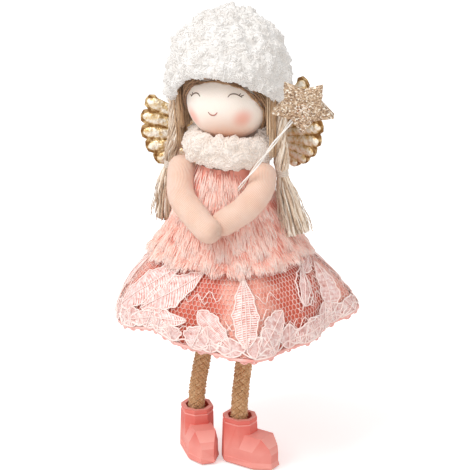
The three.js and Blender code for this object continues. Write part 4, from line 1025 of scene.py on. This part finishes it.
def makeDisc():
    low, high = feltDisc["low"], feltDisc["low"] + feltDisc["thick"]
    deselectAll()
    bpy.ops.mesh.primitive_cylinder_add(vertices=feltDisc["segments"], depth=feltDisc["thick"] * mm,
                                        radius=(feltDisc["radius"] - feltDisc["ease"]) * mm,
                                        location=place(0, 0, low + feltDisc["thick"] / 2))
    disc = bpy.context.object
    settle(disc)
    applyModifier(disc, "BEVEL", width=feltDisc["bevel"] * mm, segments=3, limit_method="ANGLE")
    disc.data.materials.append(felt)
    smooth(disc, 40)
    strands = []
    for k in range(feltDisc["stitches"]):  # blanket stitches round the disc's edge
        turn = 360 * k / feltDisc["stitches"]
        corners = [(-3, low - 0.15), (-0.3, low - 0.1), (0.15, low + 0.6), (0.15, high)]
        route = [onTurn(feltDisc["radius"] + out, turn, z) for out, z in corners]
        strands.append((route, [feltDisc["stitchThread"] * mm] * len(route), 0.6))
    for side in (-1, 1):  # corded eyelets where the ropes leave the disc
        ring = []
        for i in range(feltDisc["eyeletSteps"] + 1):
            angle = 2 * math.pi * i / feltDisc["eyeletSteps"]
            ring.append(place(side * feltDisc["hips"] + feltDisc["eyelet"] * math.cos(angle),
                              feltDisc["eyelet"] * math.sin(angle), low - 0.2))
        strands.append((ring, [feltDisc["eyeletThread"] * mm] * len(ring), 0.4))
    disc = joinPieces("feltDisc", disc, strandPiece("discStitches", strands, 5, tieThread))
    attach(disc, "torso")
    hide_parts("hip_disc")


def makeTape():
    wide, tall = waistTape["outer"] - waistTape["inner"], waistTape["high"] - waistTape["low"]
    corners = [(0, 0), (1, 0), (1, 1), (0, 1), (0, 0)]  # the tape's section, out and up

    def pointAt(v, u):
        out, up = corners[round(v * 4)]
        pleat = waistTape["pleatDepth"] * math.sin(2 * math.pi * u * waistTape["pleats"])
        return onTurn(waistTape["inner"] + wide * out + pleat * out, u * 360, waistTape["low"] + tall * up)

    tape = gridPiece("waistTape", 4, waistTape["columns"], pointAt, hemTape)
    closeUp(tape, 0.01)
    smooth(tape, 40)
    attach(tape, "torso")
    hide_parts("waistband")


makeBody()
makeDisc()
makeTape()
print("body done")


# Head: jersey over a ball, a printed face, yarn hair under the hat's rim. Places on the face are turn and
# rise on the ball, in degrees.

head = {"height": 150.2, "radius": 16.6, "segments": 96, "rings": 64, "neckCut": 0.955, "neckTurnUp": 2.5,
        "knit": 0.45, "cheeks": [(-43, -20), (39.5, -14.5)], "blushSize": 6.4,
        "chinShadow": (16, -58), "chinShadowSize": 20}
face = {"line": 0.27, "lashShare": 0.7, "proud": 0.03, "steps": 12,
        "rightEye": [(-42.6, 9.6), (-39, 13.2), (-33, 16.4), (-27.4, 16.2), (-23.5, 13.6)],
        "rightLashes": [[(-42, 10.6), (-45.5, 11.6)], [(-39.4, 13), (-41.5, 15.4)]],
        "leftEye": [(18.6, 16.6), (21.8, 20), (26.5, 21), (32, 19.8), (38.6, 15.6)],
        "leftLashes": [[(36.6, 16.8), (41.6, 18.6)], [(34, 18.4), (37.4, 21)]],
        "mouth": [(-8.8, -5.4), (-6, -8.2), (-2.2, -9.4), (1.4, -8.2), (4.4, -4.6)]}


def onHead(turn, rise, proud=0.0):
    radius = head["radius"] + proud
    up = math.radians(rise)
    return onTurn(radius * math.cos(up), turn, head["height"] + radius * math.sin(up))


def makeHead():
    blushAndChinShadow = [(onHead(*spot), head["blushSize"], "#F0886F", 0.58) for spot in head["cheeks"]]
    # painted shadow under the chin, where the scarf shades it
    blushAndChinShadow.append((onHead(*head["chinShadow"]), head["chinShadowSize"], "#D28E66", 0.85))
    jersey = clothSkin("skin jersey", "#FBEFE5", head["knit"], blushAndChinShadow)
    deselectAll()
    bpy.ops.mesh.primitive_uv_sphere_add(segments=head["segments"], ring_count=head["rings"],
                                         radius=head["radius"] * mm, location=place(0, 0, head["height"]))
    ball = bpy.context.object
    settle(ball)
    editAll(ball)
    bpy.ops.mesh.bisect(plane_co=place(0, 0, head["height"] - head["neckCut"] * head["radius"]),
                        plane_no=(0, 0, 1), clear_inner=True)  # opened for the neck
    bpy.ops.mesh.extrude_region_move(TRANSFORM_OT_translate={"value": (0, 0, head["neckTurnUp"] * mm)})
    bpy.ops.object.mode_set(mode="OBJECT")
    ball.data.materials.append(jersey)
    smooth(ball)
    ball.name = "headCover"
    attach(ball, "head")
    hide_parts("head_cover", "head_core")


def makeFace():
    eyeLines = [face["rightEye"], face["leftEye"]] + face["rightLashes"] + face["leftLashes"]
    middle = place(0, 0, head["height"])
    reach = head["radius"] + face["proud"]
    steps = face["steps"]
    for name, ink, lines in (("eye", eyeInk, eyeLines), ("mouth", mouthInk, [face["mouth"]])):
        strands = []
        for line in lines:
            route = smoothRoute([onHead(turn, rise, face["proud"]) for turn, rise in line], steps + 1)
            route = [middle + (p - middle).normalized() * reach * mm for p in route]
            wide = face["line"] * (1.0 if len(line) > 2 else face["lashShare"])
            radii = []
            for i in range(steps + 1):  # a line thins out towards its ends
                radii.append(wide * (0.35 + 0.65 * math.sin(math.pi * (0.08 + 0.84 * i / steps))) * mm)
            strands.append((route, radii, 0.5))
        inkLines = strandPiece(name + "Print", strands, 6, ink)
        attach(inkLines, "head")


hair = {"plane": 57, "setback": -5.0, "radius": 17.9, "strand": 0.36, "first": -0.9, "last": 20.0,
        "gap": 0.36, "low": 138.6, "steps": 25, "falls": 56, "fallSteps": 8, "fallOut": (17.4, 21.0),
        "fallForward": (-7, 5), "fallTop": 154, "fallEnd": 129, "clearOfScarf": 19.2, "paleFrom": 9,
        "seed": 9}


def makeHair():
    chance = random.Random(hair["seed"])
    tilt = math.radians(hair["plane"])
    normal = Vector((0, math.sin(tilt), math.cos(tilt)))  # the hairline's plane looks up and back
    front = Vector((0, -math.cos(tilt), math.sin(tilt)))
    middle = place(0, 0, head["height"])
    strands = []
    level = hair["first"]
    while level < hair["last"]:
        for side in (-1, 1):
            shift = level + hair["setback"] + chance.uniform(-0.3, 0.3)
            reach = hair["radius"] + chance.uniform(-0.5, 0.35) - (0.7 if level < 0 else 0)
            ring = math.sqrt(max(reach * reach - shift * shift, 1))
            start, end = chance.uniform(-4, 4), chance.uniform(150, 178)
            route = []
            for i in range(hair["steps"] + 1):
                angle = math.radians(start + (end - start) * i / hair["steps"])
                wave = 0.45 * math.sin(i * 0.8 + level * 5) + 0.2 * math.sin(i * 1.9 + level * 11)
                spoke = front * math.cos(angle) + Vector((side, 0, 0)) * math.sin(angle)
                spot = middle + (spoke * ring + normal * (shift + wave)) * mm
                if spot.z < place(0, 0, hair["low"]).z:
                    break
                route.append(spot)
            tone = min(level / hair["paleFrom"], 1) * 0.6 + 0.4 * chance.random()  # darkest beside the face
            strands.append((route, [hair["strand"] * mm] * len(route), tone))
        level += hair["gap"]
    for side in (-1, 1):  # loose yarn falls from the rim beside the face
        for k in range(hair["falls"]):
            out, ahead = chance.uniform(*hair["fallOut"]), chance.uniform(*hair["fallForward"])
            sway = chance.uniform(-0.8, 0.8)
            end = hair["fallEnd"] if out > hair["clearOfScarf"] else hair["low"] - 1
            route = []
            for i in range(hair["fallSteps"] + 1):
                z = hair["fallTop"] + (end - hair["fallTop"]) * i / hair["fallSteps"]
                drift = sway * math.sin(i * 0.7)
                route.append(place(side * (out - 0.04 * i), ahead + drift + 0.25 * i, z))
            strands.append((route, [hair["strand"] * 0.9 * mm] * len(route), 0.35 + 0.65 * chance.random()))
    piece = strandPiece("hairCap", strands, 5, hairShade)
    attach(piece, "head")
    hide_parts("hair_cap")


makeHead()
makeFace()
makeHair()
print("head done")


# Hat and scarf: a lumpy knitted base with loose curls of looped yarn all over it

hat = {"height": 158.2, "sideHalf": 26.1, "frontHalf": 24.6, "tall": 29.1, "inner": 19.4, "segments": 180,
       "rings": 112, "rimHeight": 151.8, "rimTilt": 31, "lumpSpacing": 9.6, "lumpDepth": 2.4,
       "lumpAxes": [(0.8, 0.6, 0), (-0.48, 0.64, 0.6), (0.36, -0.48, 0.8)],
       "bobbles": 3.4, "bobbleDepth": 2.9,
       "rimRolls": [(0.96, 0.8), (0.92, 0.3), (0.92, -0.6), (0.96, -2.0), (0.98, -3.0)],
       "lobes": (5.0, 1.4), "lobeReach": 11, "lobeFrom": 9, "lobeWide": 13, "lobeBack": 8, "lobeFade": 10,
       "curls": 3400, "curlGap": 1.5, "rimCurls": 420, "rimGrow": 1.8, "rimBand": 2.6, "seed": 11}
scarf = {"height": 131.3, "radius": 14, "halfWidth": 3.8, "halfHeight": 6.2, "tilt": 3, "segments": 96,
         "sides": 32, "bobbles": 3.8, "bobbleDepth": 2.8, "curls": 1500, "grow": 1.25, "seed": 12}
curl = {"radius": (0.55, 1.15), "thread": (0.2, 0.34), "turns": (0.8, 1.3), "tilt": (0.25, 0.7), "pitch": 0.8,
        "steps": 8, "sides": 5}


def shapeHat(cap, middle, rimNormal):
    centre, crown = place(0, 0, hat["height"]), place(0, 0, hat["height"] + hat["tall"])
    halves = (hat["sideHalf"] * mm, hat["frontHalf"] * mm, hat["tall"] * mm)
    for vertex in cap.data.vertices:
        spot = vertex.co.copy()
        shares = Vector([gap / half for gap, half in zip(spot - centre, halves)])
        out = Vector([share / half for share, half in zip(shares, halves)]).normalized()
        waves = [math.cos(2 * math.pi * Vector(axis).dot(spot - crown) / (hat["lumpSpacing"] * mm))
                 for axis in hat["lumpAxes"]]
        lump = hat["lumpDepth"] * (sum(waves) / 3 - 1) / 2  # the wool gathers in round lumps
        lump *= min(max((shares.length - 0.8) / 0.2, 0.0), 1.0)  # the rolled rim's inside stays round
        nearest = noise.voronoi(spot / (hat["bobbles"] * mm))[0][0]
        bobble = hat["bobbleDepth"] * (0.4 - nearest)  # and each lump in small bobbles of loops
        low = max(1 - max((spot - middle).dot(rimNormal) / mm, 0.0) / hat["lobeReach"], 0.0)
        side = min(max((abs(spot.x) / mm - hat["lobeFrom"]) / hat["lobeWide"], 0.0), 1.0)
        ahead = min(max((hat["lobeBack"] - spot.y / mm) / hat["lobeFade"], 0.0), 1.0)
        lobe = hat["lobes"][0] if spot.x < 0 else hat["lobes"][1]  # soft lobes droop over the temples
        lobe *= low * low * (3 - 2 * low) * side * side * (3 - 2 * side) * ahead
        vertex.co = spot + out * (lump + bobble) * mm - Vector((0, 0, lobe * mm))


def curlsOver(piece, count, seed, material, keep, grow=1.0):  # loose curls on the faces that keep picks
    chance = random.Random(seed)
    mesh = piece.data
    faces = [face for face in mesh.polygons if keep(face.center, face.normal)]
    faces.sort(key=lambda face: [round(c / mm, 2) for c in face.center])  # the cut leaves them in any order
    weights = [face.area for face in faces]
    strands = []
    for face in chance.choices(faces, weights, k=count):
        normal = face.normal.copy()
        along = normal.orthogonal().normalized()
        along.rotate(Matrix.Rotation(chance.uniform(0, 2 * math.pi), 3, normal))
        across = normal.cross(along)
        radius = grow * chance.uniform(*curl["radius"])
        turns = chance.uniform(*curl["turns"])
        begin = chance.uniform(0, 2 * math.pi)
        tilt = chance.uniform(*curl["tilt"])
        route = []
        for i in range(curl["steps"]):
            t = i / (curl["steps"] - 1)
            angle = begin + 2 * math.pi * turns * t
            spot = along * (curl["pitch"] * (t - 0.5) * 2) + across * radius * math.cos(angle)
            spot += normal * (radius * tilt * math.sin(angle) - 0.1 * radius)
            route.append(face.center + spot * mm)
        thread = chance.uniform(*curl["thread"]) * mm
        radii = [thread * (0.6 if i in (0, curl["steps"] - 1) else 1) for i in range(curl["steps"])]
        strands.append((route, radii, chance.random()))
    return strandPiece(piece.name + "Curls", strands, curl["sides"], material)


def makeHat():
    tilt = math.radians(hat["rimTilt"])
    rimNormal = Vector((0, math.sin(tilt), math.cos(tilt)))
    middle = place(0, 0, hat["rimHeight"])
    deselectAll()
    bpy.ops.mesh.primitive_uv_sphere_add(segments=hat["segments"], ring_count=hat["rings"], radius=1,
                                         location=place(0, 0, hat["height"]))
    cap = bpy.context.object
    cap.name = "hatBase"
    cap.scale = (hat["sideHalf"] * mm, hat["frontHalf"] * mm, hat["tall"] * mm)
    settle(cap)
    editAll(cap)
    bpy.ops.mesh.bisect(plane_co=middle, plane_no=rimNormal, clear_inner=True)
    for scale, drop in hat["rimRolls"]:  # the rim rolls under
        step = -rimNormal * drop * mm
        bpy.ops.mesh.extrude_region_move(TRANSFORM_OT_translate={"value": step})
        bpy.ops.transform.resize(value=(scale, scale, scale), center_override=middle + step)
    bpy.ops.mesh.select_all(action="SELECT")
    bpy.ops.mesh.normals_make_consistent(inside=False)
    bpy.ops.object.mode_set(mode="OBJECT")
    shapeHat(cap, middle, rimNormal)
    cap.data.materials.append(whiteBoucle)
    smooth(cap)

    def outside(spot, normal):
        away = spot - place(0, 0, head["height"])
        return away.length > (hat["inner"] + hat["curlGap"]) * mm and away.dot(normal) > -0.2 * away.length

    def byRim(spot, normal):  # longer loose loops hang along the rim
        below = (spot - middle).dot(rimNormal)
        return below < hat["rimBand"] * mm and outside(spot, normal)

    curls = curlsOver(cap, hat["curls"], hat["seed"], whiteBoucle, outside)
    fringe = curlsOver(cap, hat["rimCurls"], hat["seed"] + 1, whiteBoucle, byRim, hat["rimGrow"])
    piece = joinPieces("boucleHat", cap, curls, fringe)
    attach(piece, "head")
    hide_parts("hat", "hat_stuffing")


def makeScarf():
    deselectAll()
    bpy.ops.mesh.primitive_torus_add(major_radius=scarf["radius"] * mm, minor_radius=scarf["halfWidth"] * mm,
                                     major_segments=scarf["segments"], minor_segments=scarf["sides"])
    ring = bpy.context.object
    ring.name = "scarfBase"
    ring.scale = (1, 1, scarf["halfHeight"] / scarf["halfWidth"])
    settle(ring)
    ring.rotation_euler = (-math.radians(scarf["tilt"]), 0, 0)
    ring.location = place(0, 0, scarf["height"])
    settle(ring)
    bobbles = bpy.data.textures.new("scarf bobbles", "VORONOI")  # round bobbles of gathered loops
    bobbles.noise_scale = scarf["bobbles"] * mm
    applyModifier(ring, "DISPLACE", texture=bobbles, texture_coords="LOCAL", mid_level=0.4,
                  strength=-scarf["bobbleDepth"] * mm)
    ring.data.materials.append(scarfBoucle)
    smooth(ring)

    def outside(spot, normal):
        return normal.x * spot.x + normal.y * spot.y > -0.3 * math.hypot(spot.x, spot.y)

    curls = curlsOver(ring, scarf["curls"], scarf["seed"], scarfBoucle, outside, scarf["grow"])
    piece = joinPieces("boucleScarf", ring, curls)
    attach(piece, "torso")
    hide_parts("scarf")


makeHat()
makeScarf()
print("hat and scarf done")


# Pigtails: bundles of yarn from under the rim, pinched by a few turns of thread. Routes are out, forward
# and down from the hinge.

pigtails = {"hinge": (21.6, 2, 148.85), "rootRise": 2.4, "steps": 29, "strands": 84, "yarn": 0.44,
            "twist": 0.9, "wisps": 26, "wispYarn": 0.13, "wispSpread": 2.2, "seed": 14,
            "radii": [(0, 2.5), (0.45, 3.0), (1, 5.0)], "tieDrop": 31, "tiePinch": 0.35, "tieSpread": 0.06,
            "tieTurns": 4, "tieSteps": 14, "tiePitch": 0.75, "tieRadius": 2.2, "tieThread": 0.42,
            "right": [(0, 0, 0), (0.7, -1, 14), (3.4, -1.2, 31), (4.4, -1.2, 40), (4.7, -1.2, 52.5)],
            "left": [(0, 0, 0), (0, -2, 15), (0.8, -3, 31), (3.6, -2, 39), (8, -1, 53.2)]}


def makePigtail(name, side):
    chance = random.Random(pigtails["seed"] + side)
    out, forward, height = pigtails["hinge"]
    steps = pigtails["steps"]
    spots = [place(side * (out + o), -(forward + f), height - d) for o, f, d in pigtails[name]]
    spots[0] = spots[0] + Vector((0, 0, pigtails["rootRise"] * mm))
    line = smoothRoute(spots, steps + 1)
    tieShare = pigtails["tieDrop"] / routeLength(line)
    strands = []
    for k in range(pigtails["strands"] + pigtails["wisps"]):
        wisp = k >= pigtails["strands"]
        ring, begin = math.sqrt(chance.random()), chance.uniform(0, 2 * math.pi)
        ring = 1.05 if wisp else ring
        stop = 1 - 0.1 * chance.random() ** 2  # the ends are cut unevenly
        phase = chance.uniform(0, 6)
        route = []
        for i, point in enumerate(line):
            share = i / steps
            if share > stop:
                break
            ahead = (line[min(i + 1, steps)] - line[max(i - 1, 0)]).normalized()
            across = Vector((0, 1, 0)).cross(ahead).normalized()
            deep = ahead.cross(across)
            bundle = radiusThrough(pigtails["radii"], share)
            bundle *= 1 - pigtails["tiePinch"] * math.exp(-((share - tieShare) / pigtails["tieSpread"]) ** 2)
            swing = begin + pigtails["twist"] * 2 * math.pi * min(share, tieShare)
            wave = 0.45 * math.sin(share * 19 + phase) + 0.3 * math.sin(share * 41 + 2 * phase)
            spread = ring * (bundle - pigtails["yarn"]) + wave
            if wisp:
                spread += pigtails["wispSpread"] * max(share - 0.6, 0) / 0.4
            route.append(point + (across * math.cos(swing) + deep * math.sin(swing)) * spread * mm)
        thick = pigtails["wispYarn"] if wisp else pigtails["yarn"]
        strands.append((route, [thick * mm] * len(route), chance.random()))
    piece = strandPiece(name + "Pigtail", strands, 5, hairYarn)
    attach(piece, name + "_pigtail")
    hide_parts(name + "_pigtail")

    i = int(tieShare * steps)
    ahead = (line[i + 1] - line[i]).normalized()
    across = Vector((0, 1, 0)).cross(ahead).normalized()
    deep = ahead.cross(across)
    turns, perTurn = pigtails["tieTurns"], pigtails["tieSteps"]
    wrap = []
    for k in range(turns * perTurn + 1):
        angle = 2 * math.pi * k / perTurn
        spot = line[i] + ahead * (k / perTurn - turns / 2) * pigtails["tiePitch"] * mm
        wrap.append(spot + (across * math.cos(angle) + deep * math.sin(angle)) * pigtails["tieRadius"] * mm)
    radii = [pigtails["tieThread"] * mm] * len(wrap)
    tie = strandPiece(name + "HairTie", [(wrap, radii, 0.5)], 6, tieThread)
    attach(tie, name + "_pigtail")
    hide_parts(name + "_hair_tie")


makePigtail("right", -1)
makePigtail("left", 1)
print("pigtails done")


# Boots: the cast shells, with softened edges and a crease under the rim's lip

boots = {"bevel": 0.22, "ledge": 0.65, "lipHeight": 17.6, "lipDepth": 0.35, "lipWidth": 0.45, "bore": 5.8,
         "right": (-12.5, -4.2), "left": (7.6, -8.4)}


def makeBoot(name):
    shell = copyNode(name + "_boot", name + "BootShell", bootResin)
    editAll(shell)
    bpy.ops.mesh.remove_doubles(threshold=boots["ledge"] * mm)  # the solid's small ledges close up too
    bpy.ops.mesh.dissolve_limited(angle_limit=math.radians(2))
    bpy.ops.mesh.normals_make_consistent(inside=False)
    for step in (-1, 0, 1):
        bpy.ops.mesh.select_all(action="SELECT")
        level = place(0, 0, boots["lipHeight"] + step * boots["lipWidth"])
        bpy.ops.mesh.bisect(plane_co=level, plane_no=(0, 0, 1))
    bpy.ops.object.mode_set(mode="OBJECT")
    x, y = boots[name]
    grooveShade = place(x, y, boots["lipHeight"])
    for vertex in shell.data.vertices:  # the middle of the three cuts is drawn in to make the lip's crease
        away = vertex.co - grooveShade
        if abs(away.z) < 0.05 * mm and math.hypot(away.x, away.y) > boots["bore"] * mm:
            flat = Vector((away.x, away.y, 0)).normalized()
            vertex.co = vertex.co - flat * boots["lipDepth"] * mm
    applyModifier(shell, "BEVEL", width=boots["bevel"] * mm, segments=2, limit_method="ANGLE",
                  angle_limit=math.radians(9), use_clamp_overlap=True)
    smooth(shell, 4)
    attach(shell, name + "_boot")
    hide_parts(name + "_boot")
    return shell


# Legs: twelve-carrier braid of two yarns each, over a plain core

rope = {"diameter": 7.2, "pitch": 17, "carriers": 12, "yarns": 2, "yarn": 0.52, "yarnGap": 0.4, "ring": 2.5,
        "weave": 0.74, "core": 2.1, "topRound": 3.6, "steps": 96, "hipHeight": 79.7, "hips": 7.5, "bow": 1.3,
        "straightTop": 24.5, "end": 7, "seed": 30}


def makeLeg(name, side, boot):
    x, y = boots[name]
    hip = place(side * rope["hips"], 0, rope["hipHeight"])
    straightTop, end = place(x, y, rope["straightTop"]), place(x, y, rope["end"])
    middle = hip.lerp(straightTop, 0.5) + Vector((rope["bow"] * mm, 0, 0))
    steps = rope["steps"]
    line = smoothRoute([hip, middle, straightTop, end], steps + 1)
    length = routeLength(line)
    frames = framesAlong(line, Vector((1, 0, 0)))
    chance = random.Random(rope["seed"] + side)

    def narrow(i):  # the cut top is round, so that it clears the disc when the leg swings
        short = max(1 - length * i / steps / rope["topRound"], 0.0)
        return math.sqrt(max(1 - short * short, 0.01))

    # the core takes a darker tone than the yarns, painted shade in the gaps of the braid
    strands = [(line[::2], [rope["core"] * narrow(i) * mm for i in range(0, steps + 1, 2)], 0.1)]
    for carrier in range(rope["carriers"]):
        way = 1 if carrier % 2 else -1
        begin = 2 * math.pi * (carrier // 2) / (rope["carriers"] / 2)
        for yarn in range(rope["yarns"]):
            beside = (yarn - (rope["yarns"] - 1) / 2) * rope["yarnGap"]
            route = []
            for i, (point, sideways, deep) in enumerate(frames):
                run = length * i / steps / rope["pitch"]
                swing = way * 2 * math.pi * run + begin + beside
                lap = rope["carriers"] * (math.pi * run + way * beside / 4)  # over one, under the next
                out = rope["ring"] + way * rope["weave"] * math.cos(lap)
                out *= narrow(i)
                route.append(point + (sideways * math.cos(swing) + deep * math.sin(swing)) * out * mm)
            strands.append((route, [rope["yarn"] * mm] * len(route), chance.uniform(0.35, 0.75)))
    piece = strandPiece(name + "LegRope", strands, 6, ropeYarn)
    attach(piece, name + "_leg")
    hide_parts(name + "_leg_rope")


for legName, legSide in (("right", -1), ("left", 1)):
    makeLeg(legName, legSide, makeBoot(legName))
print("legs and boots done")


# Wand: glitter star on a thin stick of two twisted withies

wand = {"withy": 0.3, "offset": 0.42, "pitch": 26, "steps": 48, "foot": 9.6, "length": 45.8, "turn": 69.5,
        "rise": 51.3, "gripTurn": 39.6, "gripRise": 2.2}
glitterStar = {"bevel": 0.5, "flakes": 170, "flake": 0.5, "flakeLift": 0.12, "flakeRoot": 0.3, "tilt": 0.4,
               "seed": 17}


def makeStick():
    gripHeight = arms["shoulder"] + wand["gripRise"]
    grip = onTurn(radiusThrough(tunic["radii"], gripHeight) + arms["radius"], wand["gripTurn"], gripHeight)
    rise = math.radians(wand["rise"])
    along = (onTurn(math.cos(rise), wand["turn"], math.sin(rise)) - place(0, 0, 0)).normalized()
    side = along.orthogonal().normalized()
    other = along.cross(side)
    strands = []
    for half, shade in ((0, 0.55), (math.pi, 0.9)):
        route = []
        for i in range(wand["steps"] + 1):
            run = -wand["foot"] + (wand["foot"] + wand["length"]) * i / wand["steps"]
            angle = half + 2 * math.pi * run / wand["pitch"]
            swing = side * math.cos(angle) + other * math.sin(angle)
            route.append(grip + (along * run + swing * wand["offset"]) * mm)
        strands.append((route, [wand["withy"] * mm] * len(route), shade))
    stick = strandPiece("wandStick", strands, 8, stickFinish)
    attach(stick, "torso")
    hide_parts("wand_stick")


def starFlakes(star):  # loose flakes on the star's faces, each tilted its own way
    chance = random.Random(glitterStar["seed"])
    points, faces = [], []
    skins = list(star.data.polygons)
    for skin in chance.choices(skins, [skin.area for skin in skins], k=glitterStar["flakes"]):
        corners = [star.data.vertices[i].co for i in skin.vertices]
        mix = [chance.random() for corner in corners]
        spot = sum((corner * share for corner, share in zip(corners, mix)), Vector()) / sum(mix)
        facing = (skin.normal + Vector([chance.gauss(0, glitterStar["tilt"]) for axis in "xyz"])).normalized()
        wide = facing.orthogonal().normalized() * glitterStar["flake"] * mm * chance.uniform(0.5, 1.0)
        tall = facing.cross(wide)
        base = spot + skin.normal * glitterStar["flakeLift"] * mm
        first = len(points)
        points += [base + wide, base + tall, base - wide, base - tall]
        points.append(base - facing * glitterStar["flakeRoot"] * mm)
        faces += [(first, first + 1, first + 2, first + 3)]
        faces += [(first + (k + 1) % 4, first + k, first + 4) for k in range(4)]
    flakes = meshPiece("starFlakes", points, faces, sparkle)
    smooth(flakes, 10)
    return flakes


def makeStar():
    star = copyNode("star", "glitterStar", glitter)
    editAll(star)
    bpy.ops.mesh.remove_doubles(threshold=0.005 * mm)
    bpy.ops.mesh.dissolve_limited(angle_limit=math.radians(3))
    bpy.ops.object.mode_set(mode="OBJECT")
    applyModifier(star, "BEVEL", width=glitterStar["bevel"] * mm, segments=3, limit_method="ANGLE",
                  angle_limit=math.radians(30))
    smooth(star, 30)
    piece = joinPieces("glitterStar", star, starFlakes(star))
    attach(piece, "torso")
    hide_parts("star")


makeStick()
makeStar()
print("wand done")


# Wings: stamped foil plates with a raised roll for each feather, on both faces

wings = {"feathers": 8, "long": 38.8, "short": 21, "topAngle": 37, "lowAngle": -33, "sweep": 24, "roll": 12,
         "hinge": (6.3, 0.9), "rootHeight": 127.9, "bridgeBack": 20.3, "rootReach": 4, "stagger": 2,
         "fat": 1.5, "broad": 2.5, "tipPart": 0.12, "past": 0.2, "rows": 22, "columns": 14, "seed": 40}


def wingPlace(side, out, up, proud):  # from the wing's own plane to the doll
    sweep, roll = math.radians(wings["sweep"]), math.radians(wings["roll"])
    x = side * (wings["hinge"][0] + out * math.cos(sweep)) + side * proud * math.sin(sweep)
    y = wings["hinge"][1] - out * math.sin(sweep) + proud * math.cos(sweep)
    turned = (x * math.cos(roll) - up * math.sin(roll), x * math.sin(roll) + up * math.cos(roll))
    return place(turned[0], wings["bridgeBack"] + y, wings["rootHeight"] + turned[1])


def featherRoll(side, i):
    share = i / (wings["feathers"] - 1)
    angle = math.radians(wings["lowAngle"] + (wings["topAngle"] - wings["lowAngle"]) * share)
    reach = wings["short"] + (wings["long"] - wings["short"]) * math.sin(share * math.pi / 2) + wings["past"]
    start = wings["rootReach"] + wings["stagger"] * (i % 2)
    chance = random.Random(wings["seed"] + i)
    dents = [chance.uniform(0, 6.28) for k in range(2)]
    tipPart, columns = wings["tipPart"], wings["columns"]

    def pointAt(v, u):  # v runs from the tip to the root
        along = start + (reach - start) * (1 - v)
        full = math.sqrt(max(v / tipPart, 0.0))
        if v > tipPart:
            full = math.sin(math.pi * min(0.5, (1 - v) * 0.5))
        tip = math.sqrt(max(1 - max(0, (tipPart - v) / tipPart) ** 2, 0.0))
        crumple = 1 + 0.12 * math.sin(along * 1.3 + dents[0]) + 0.08 * math.sin(along * 2.9 + dents[1])
        broad = wings["broad"] * (0.3 + 0.7 * full) * tip * (1.0 if v < 0.98 else 0.4)
        fat = wings["fat"] * (0.4 + 0.6 * full) * tip * crumple
        turn = 2 * math.pi * u
        sideways, proud = broad * math.cos(turn), fat * math.sin(turn)
        out = along * math.cos(angle) - sideways * math.sin(angle)
        up = along * math.sin(angle) + sideways * math.cos(angle)
        return wingPlace(side, out, up, proud)

    roll = gridPiece("roll", wings["rows"], columns, pointAt, foil)
    crest = [abs(math.sin(2 * math.pi * k / columns)) for k in range(columns)]  # how far a point stands off, painted lighter on the crests and darker where the rolls meet
    setValues(roll, "crest", crest * (wings["rows"] + 1))
    return roll


def makeWing(name, side):
    piece = joinPieces(name + "WingFeathers", *[featherRoll(side, i) for i in range(wings["feathers"])])
    editAll(piece)
    bpy.ops.mesh.remove_doubles(threshold=0.01 * mm)
    bpy.ops.mesh.fill_holes(sides=20)
    bpy.ops.mesh.normals_make_consistent(inside=False)
    bpy.ops.object.mode_set(mode="OBJECT")
    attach(piece, name + "_wing")
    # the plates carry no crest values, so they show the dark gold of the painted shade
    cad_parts[name + "_wing"].material_slots[0].material = foil


makeWing("right", -1)
makeWing("left", 1)
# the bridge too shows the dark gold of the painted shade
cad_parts["wing_bridge"].material_slots[0].material = foil
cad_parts["neck_peg"].material_slots[0].material = beech
print("wings done")
